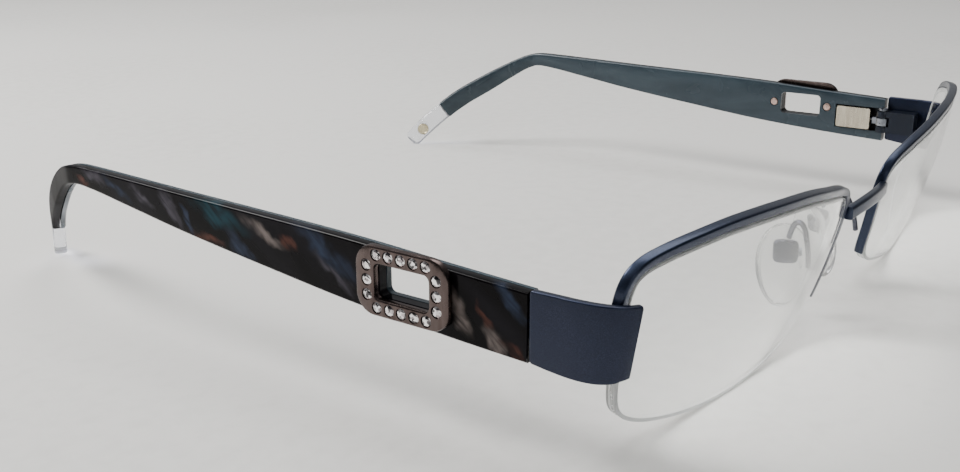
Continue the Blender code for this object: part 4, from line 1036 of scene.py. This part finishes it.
def wire_rows(path, radius, sides=14):
    """A circle square to the path at each of its points."""
    along = np.gradient(path, axis=0)
    along /= np.linalg.norm(along, axis=1)[:, None]
    side = np.cross(along, np.array([0.25, 0.1, 0.02]))
    side /= np.linalg.norm(side, axis=1)[:, None]
    other = np.cross(along, side)
    angle = np.arange(sides) * 2 * math.pi / sides
    return (path[:, None, :] + radius * (side[:, None, :] * np.cos(angle)[None, :, None]
                                         + other[:, None, :] * np.sin(angle)[None, :, None]))


def arm_rows():
    """The arm's wire along its smooth route."""
    route = smooth_line(ARM_ROUTE, 9) * MM
    path = np.stack([PAD_POINT[0] + route[:, 0], PAD_POINT[1] - route[:, 1],
                     PAD_POINT[2] + route[:, 2]], -1)
    return soften_ends(wire_rows(path, WIRE_RADIUS), 0.00008, 0.8)


arm_metal = brushed_metal("arm_metal", (0.085, 0.090, 0.115), (0.150, 0.155, 0.19), 0.24, 0.40)
pair("arm_wire", skin(arm_rows()), arm_metal, "front", ["pad_arm"])


def round_block(half, power, rows=17, sides=28):
    """A superellipsoid: each signed cosine or sine is raised to a small power."""
    v = np.linspace(-math.pi / 2, math.pi / 2, rows + 2)[1:-1, None]
    u = (np.arange(sides) * 2 * math.pi / sides)[None, :]

    def bend(s):
        return np.sign(s) * np.abs(s) ** power

    return np.stack([half[0] * bend(np.cos(v)) * bend(np.cos(u)),
                     half[1] * bend(np.cos(v)) * bend(np.sin(u)),
                     half[2] * bend(np.sin(v)) * np.ones_like(u)], -1)


box = round_block((0.0010, 0.0019, 0.0018), 0.42)
slot_tool = box_tool((-0.0009, -0.0013), (0.0009, 0.0013), -0.0005, 0.002)
screw_tool = rod(SCREW_HOLE, -0.003, 0.003, (0, 0, 0), "y", 20)
pair("pressed_box", placed(cut_shape(skin(box), [slot_tool, screw_tool]), PAD_FRAME), arm_metal,
     "front", ["pad_box"])

# ---- Nose pads ----
# Soft clear silicone drops moulded round a small tab, oval, dished towards the nose with a
# raised ring; the tab rocks on the cross screw in its box.

PAD_MIDDLE = (0.0025, -0.0025)
PAD_HALF_WIDTH = 0.0042
PAD_HALF_HEIGHT = 0.0066
PAD_THICK = 0.0011
PAD_RING = 0.00022
PAD_SIDES = 48


def nose_pad_shape():
    """An oval drop: faces rise as sqrt(1 - s^4) of the radius share s; a ring stands at 0.74."""
    outer = np.linspace(0.10, 0.985, 15)
    around = np.arange(PAD_SIDES) * 2 * math.pi / PAD_SIDES
    egg = 1 + 0.10 * np.sin(around)

    def ring(share, height):
        return np.stack([np.full(PAD_SIDES, PAD_MIDDLE[0] + height),
                         PAD_HALF_WIDTH * share * np.cos(around) * egg,
                         PAD_HALF_HEIGHT * share * np.sin(around) + PAD_MIDDLE[1]], -1)

    back = [ring(s, -PAD_THICK * (1 - s ** 4) ** 0.5 * 0.75) for s in outer]
    crest = np.exp(-((outer - 0.74) / 0.09) ** 2) * PAD_RING
    front = [ring(s, PAD_THICK * (1 - s ** 4) ** 0.5 * (0.62 + 0.2 * s) + c)
             for s, c in zip(outer[::-1], crest[::-1])]
    return skin(np.array(back + [ring(1.0, 0.0)] + front))


silicone, tree, shader = new_material("pad_silicone", Base_Color=(0.955, 0.96, 0.955, 1), IOR=1.41,
                                      Transmission_Weight=0.96)
use_marks(tree, shader, 0.06, 0.20, 260.0, 0.00003)
lets_lamps_through(tree, shader, (0.84, 0.845, 0.84))
pair("soft_pad", placed(nose_pad_shape(), PAD_FRAME), silicone, "pad", ["nose_pad"])
tab = round_block((0.00085, 0.00058, 0.00078), 0.4, 11, 20) + np.array([0.0008, 0, 0])
tab_hole = rod(SCREW_HOLE, -0.002, 0.002, (0, 0, 0), "y", 20)
pair("pad_tab", placed(cut_shape(skin(tab), [tab_hole]), PAD_FRAME), arm_metal, "pad")
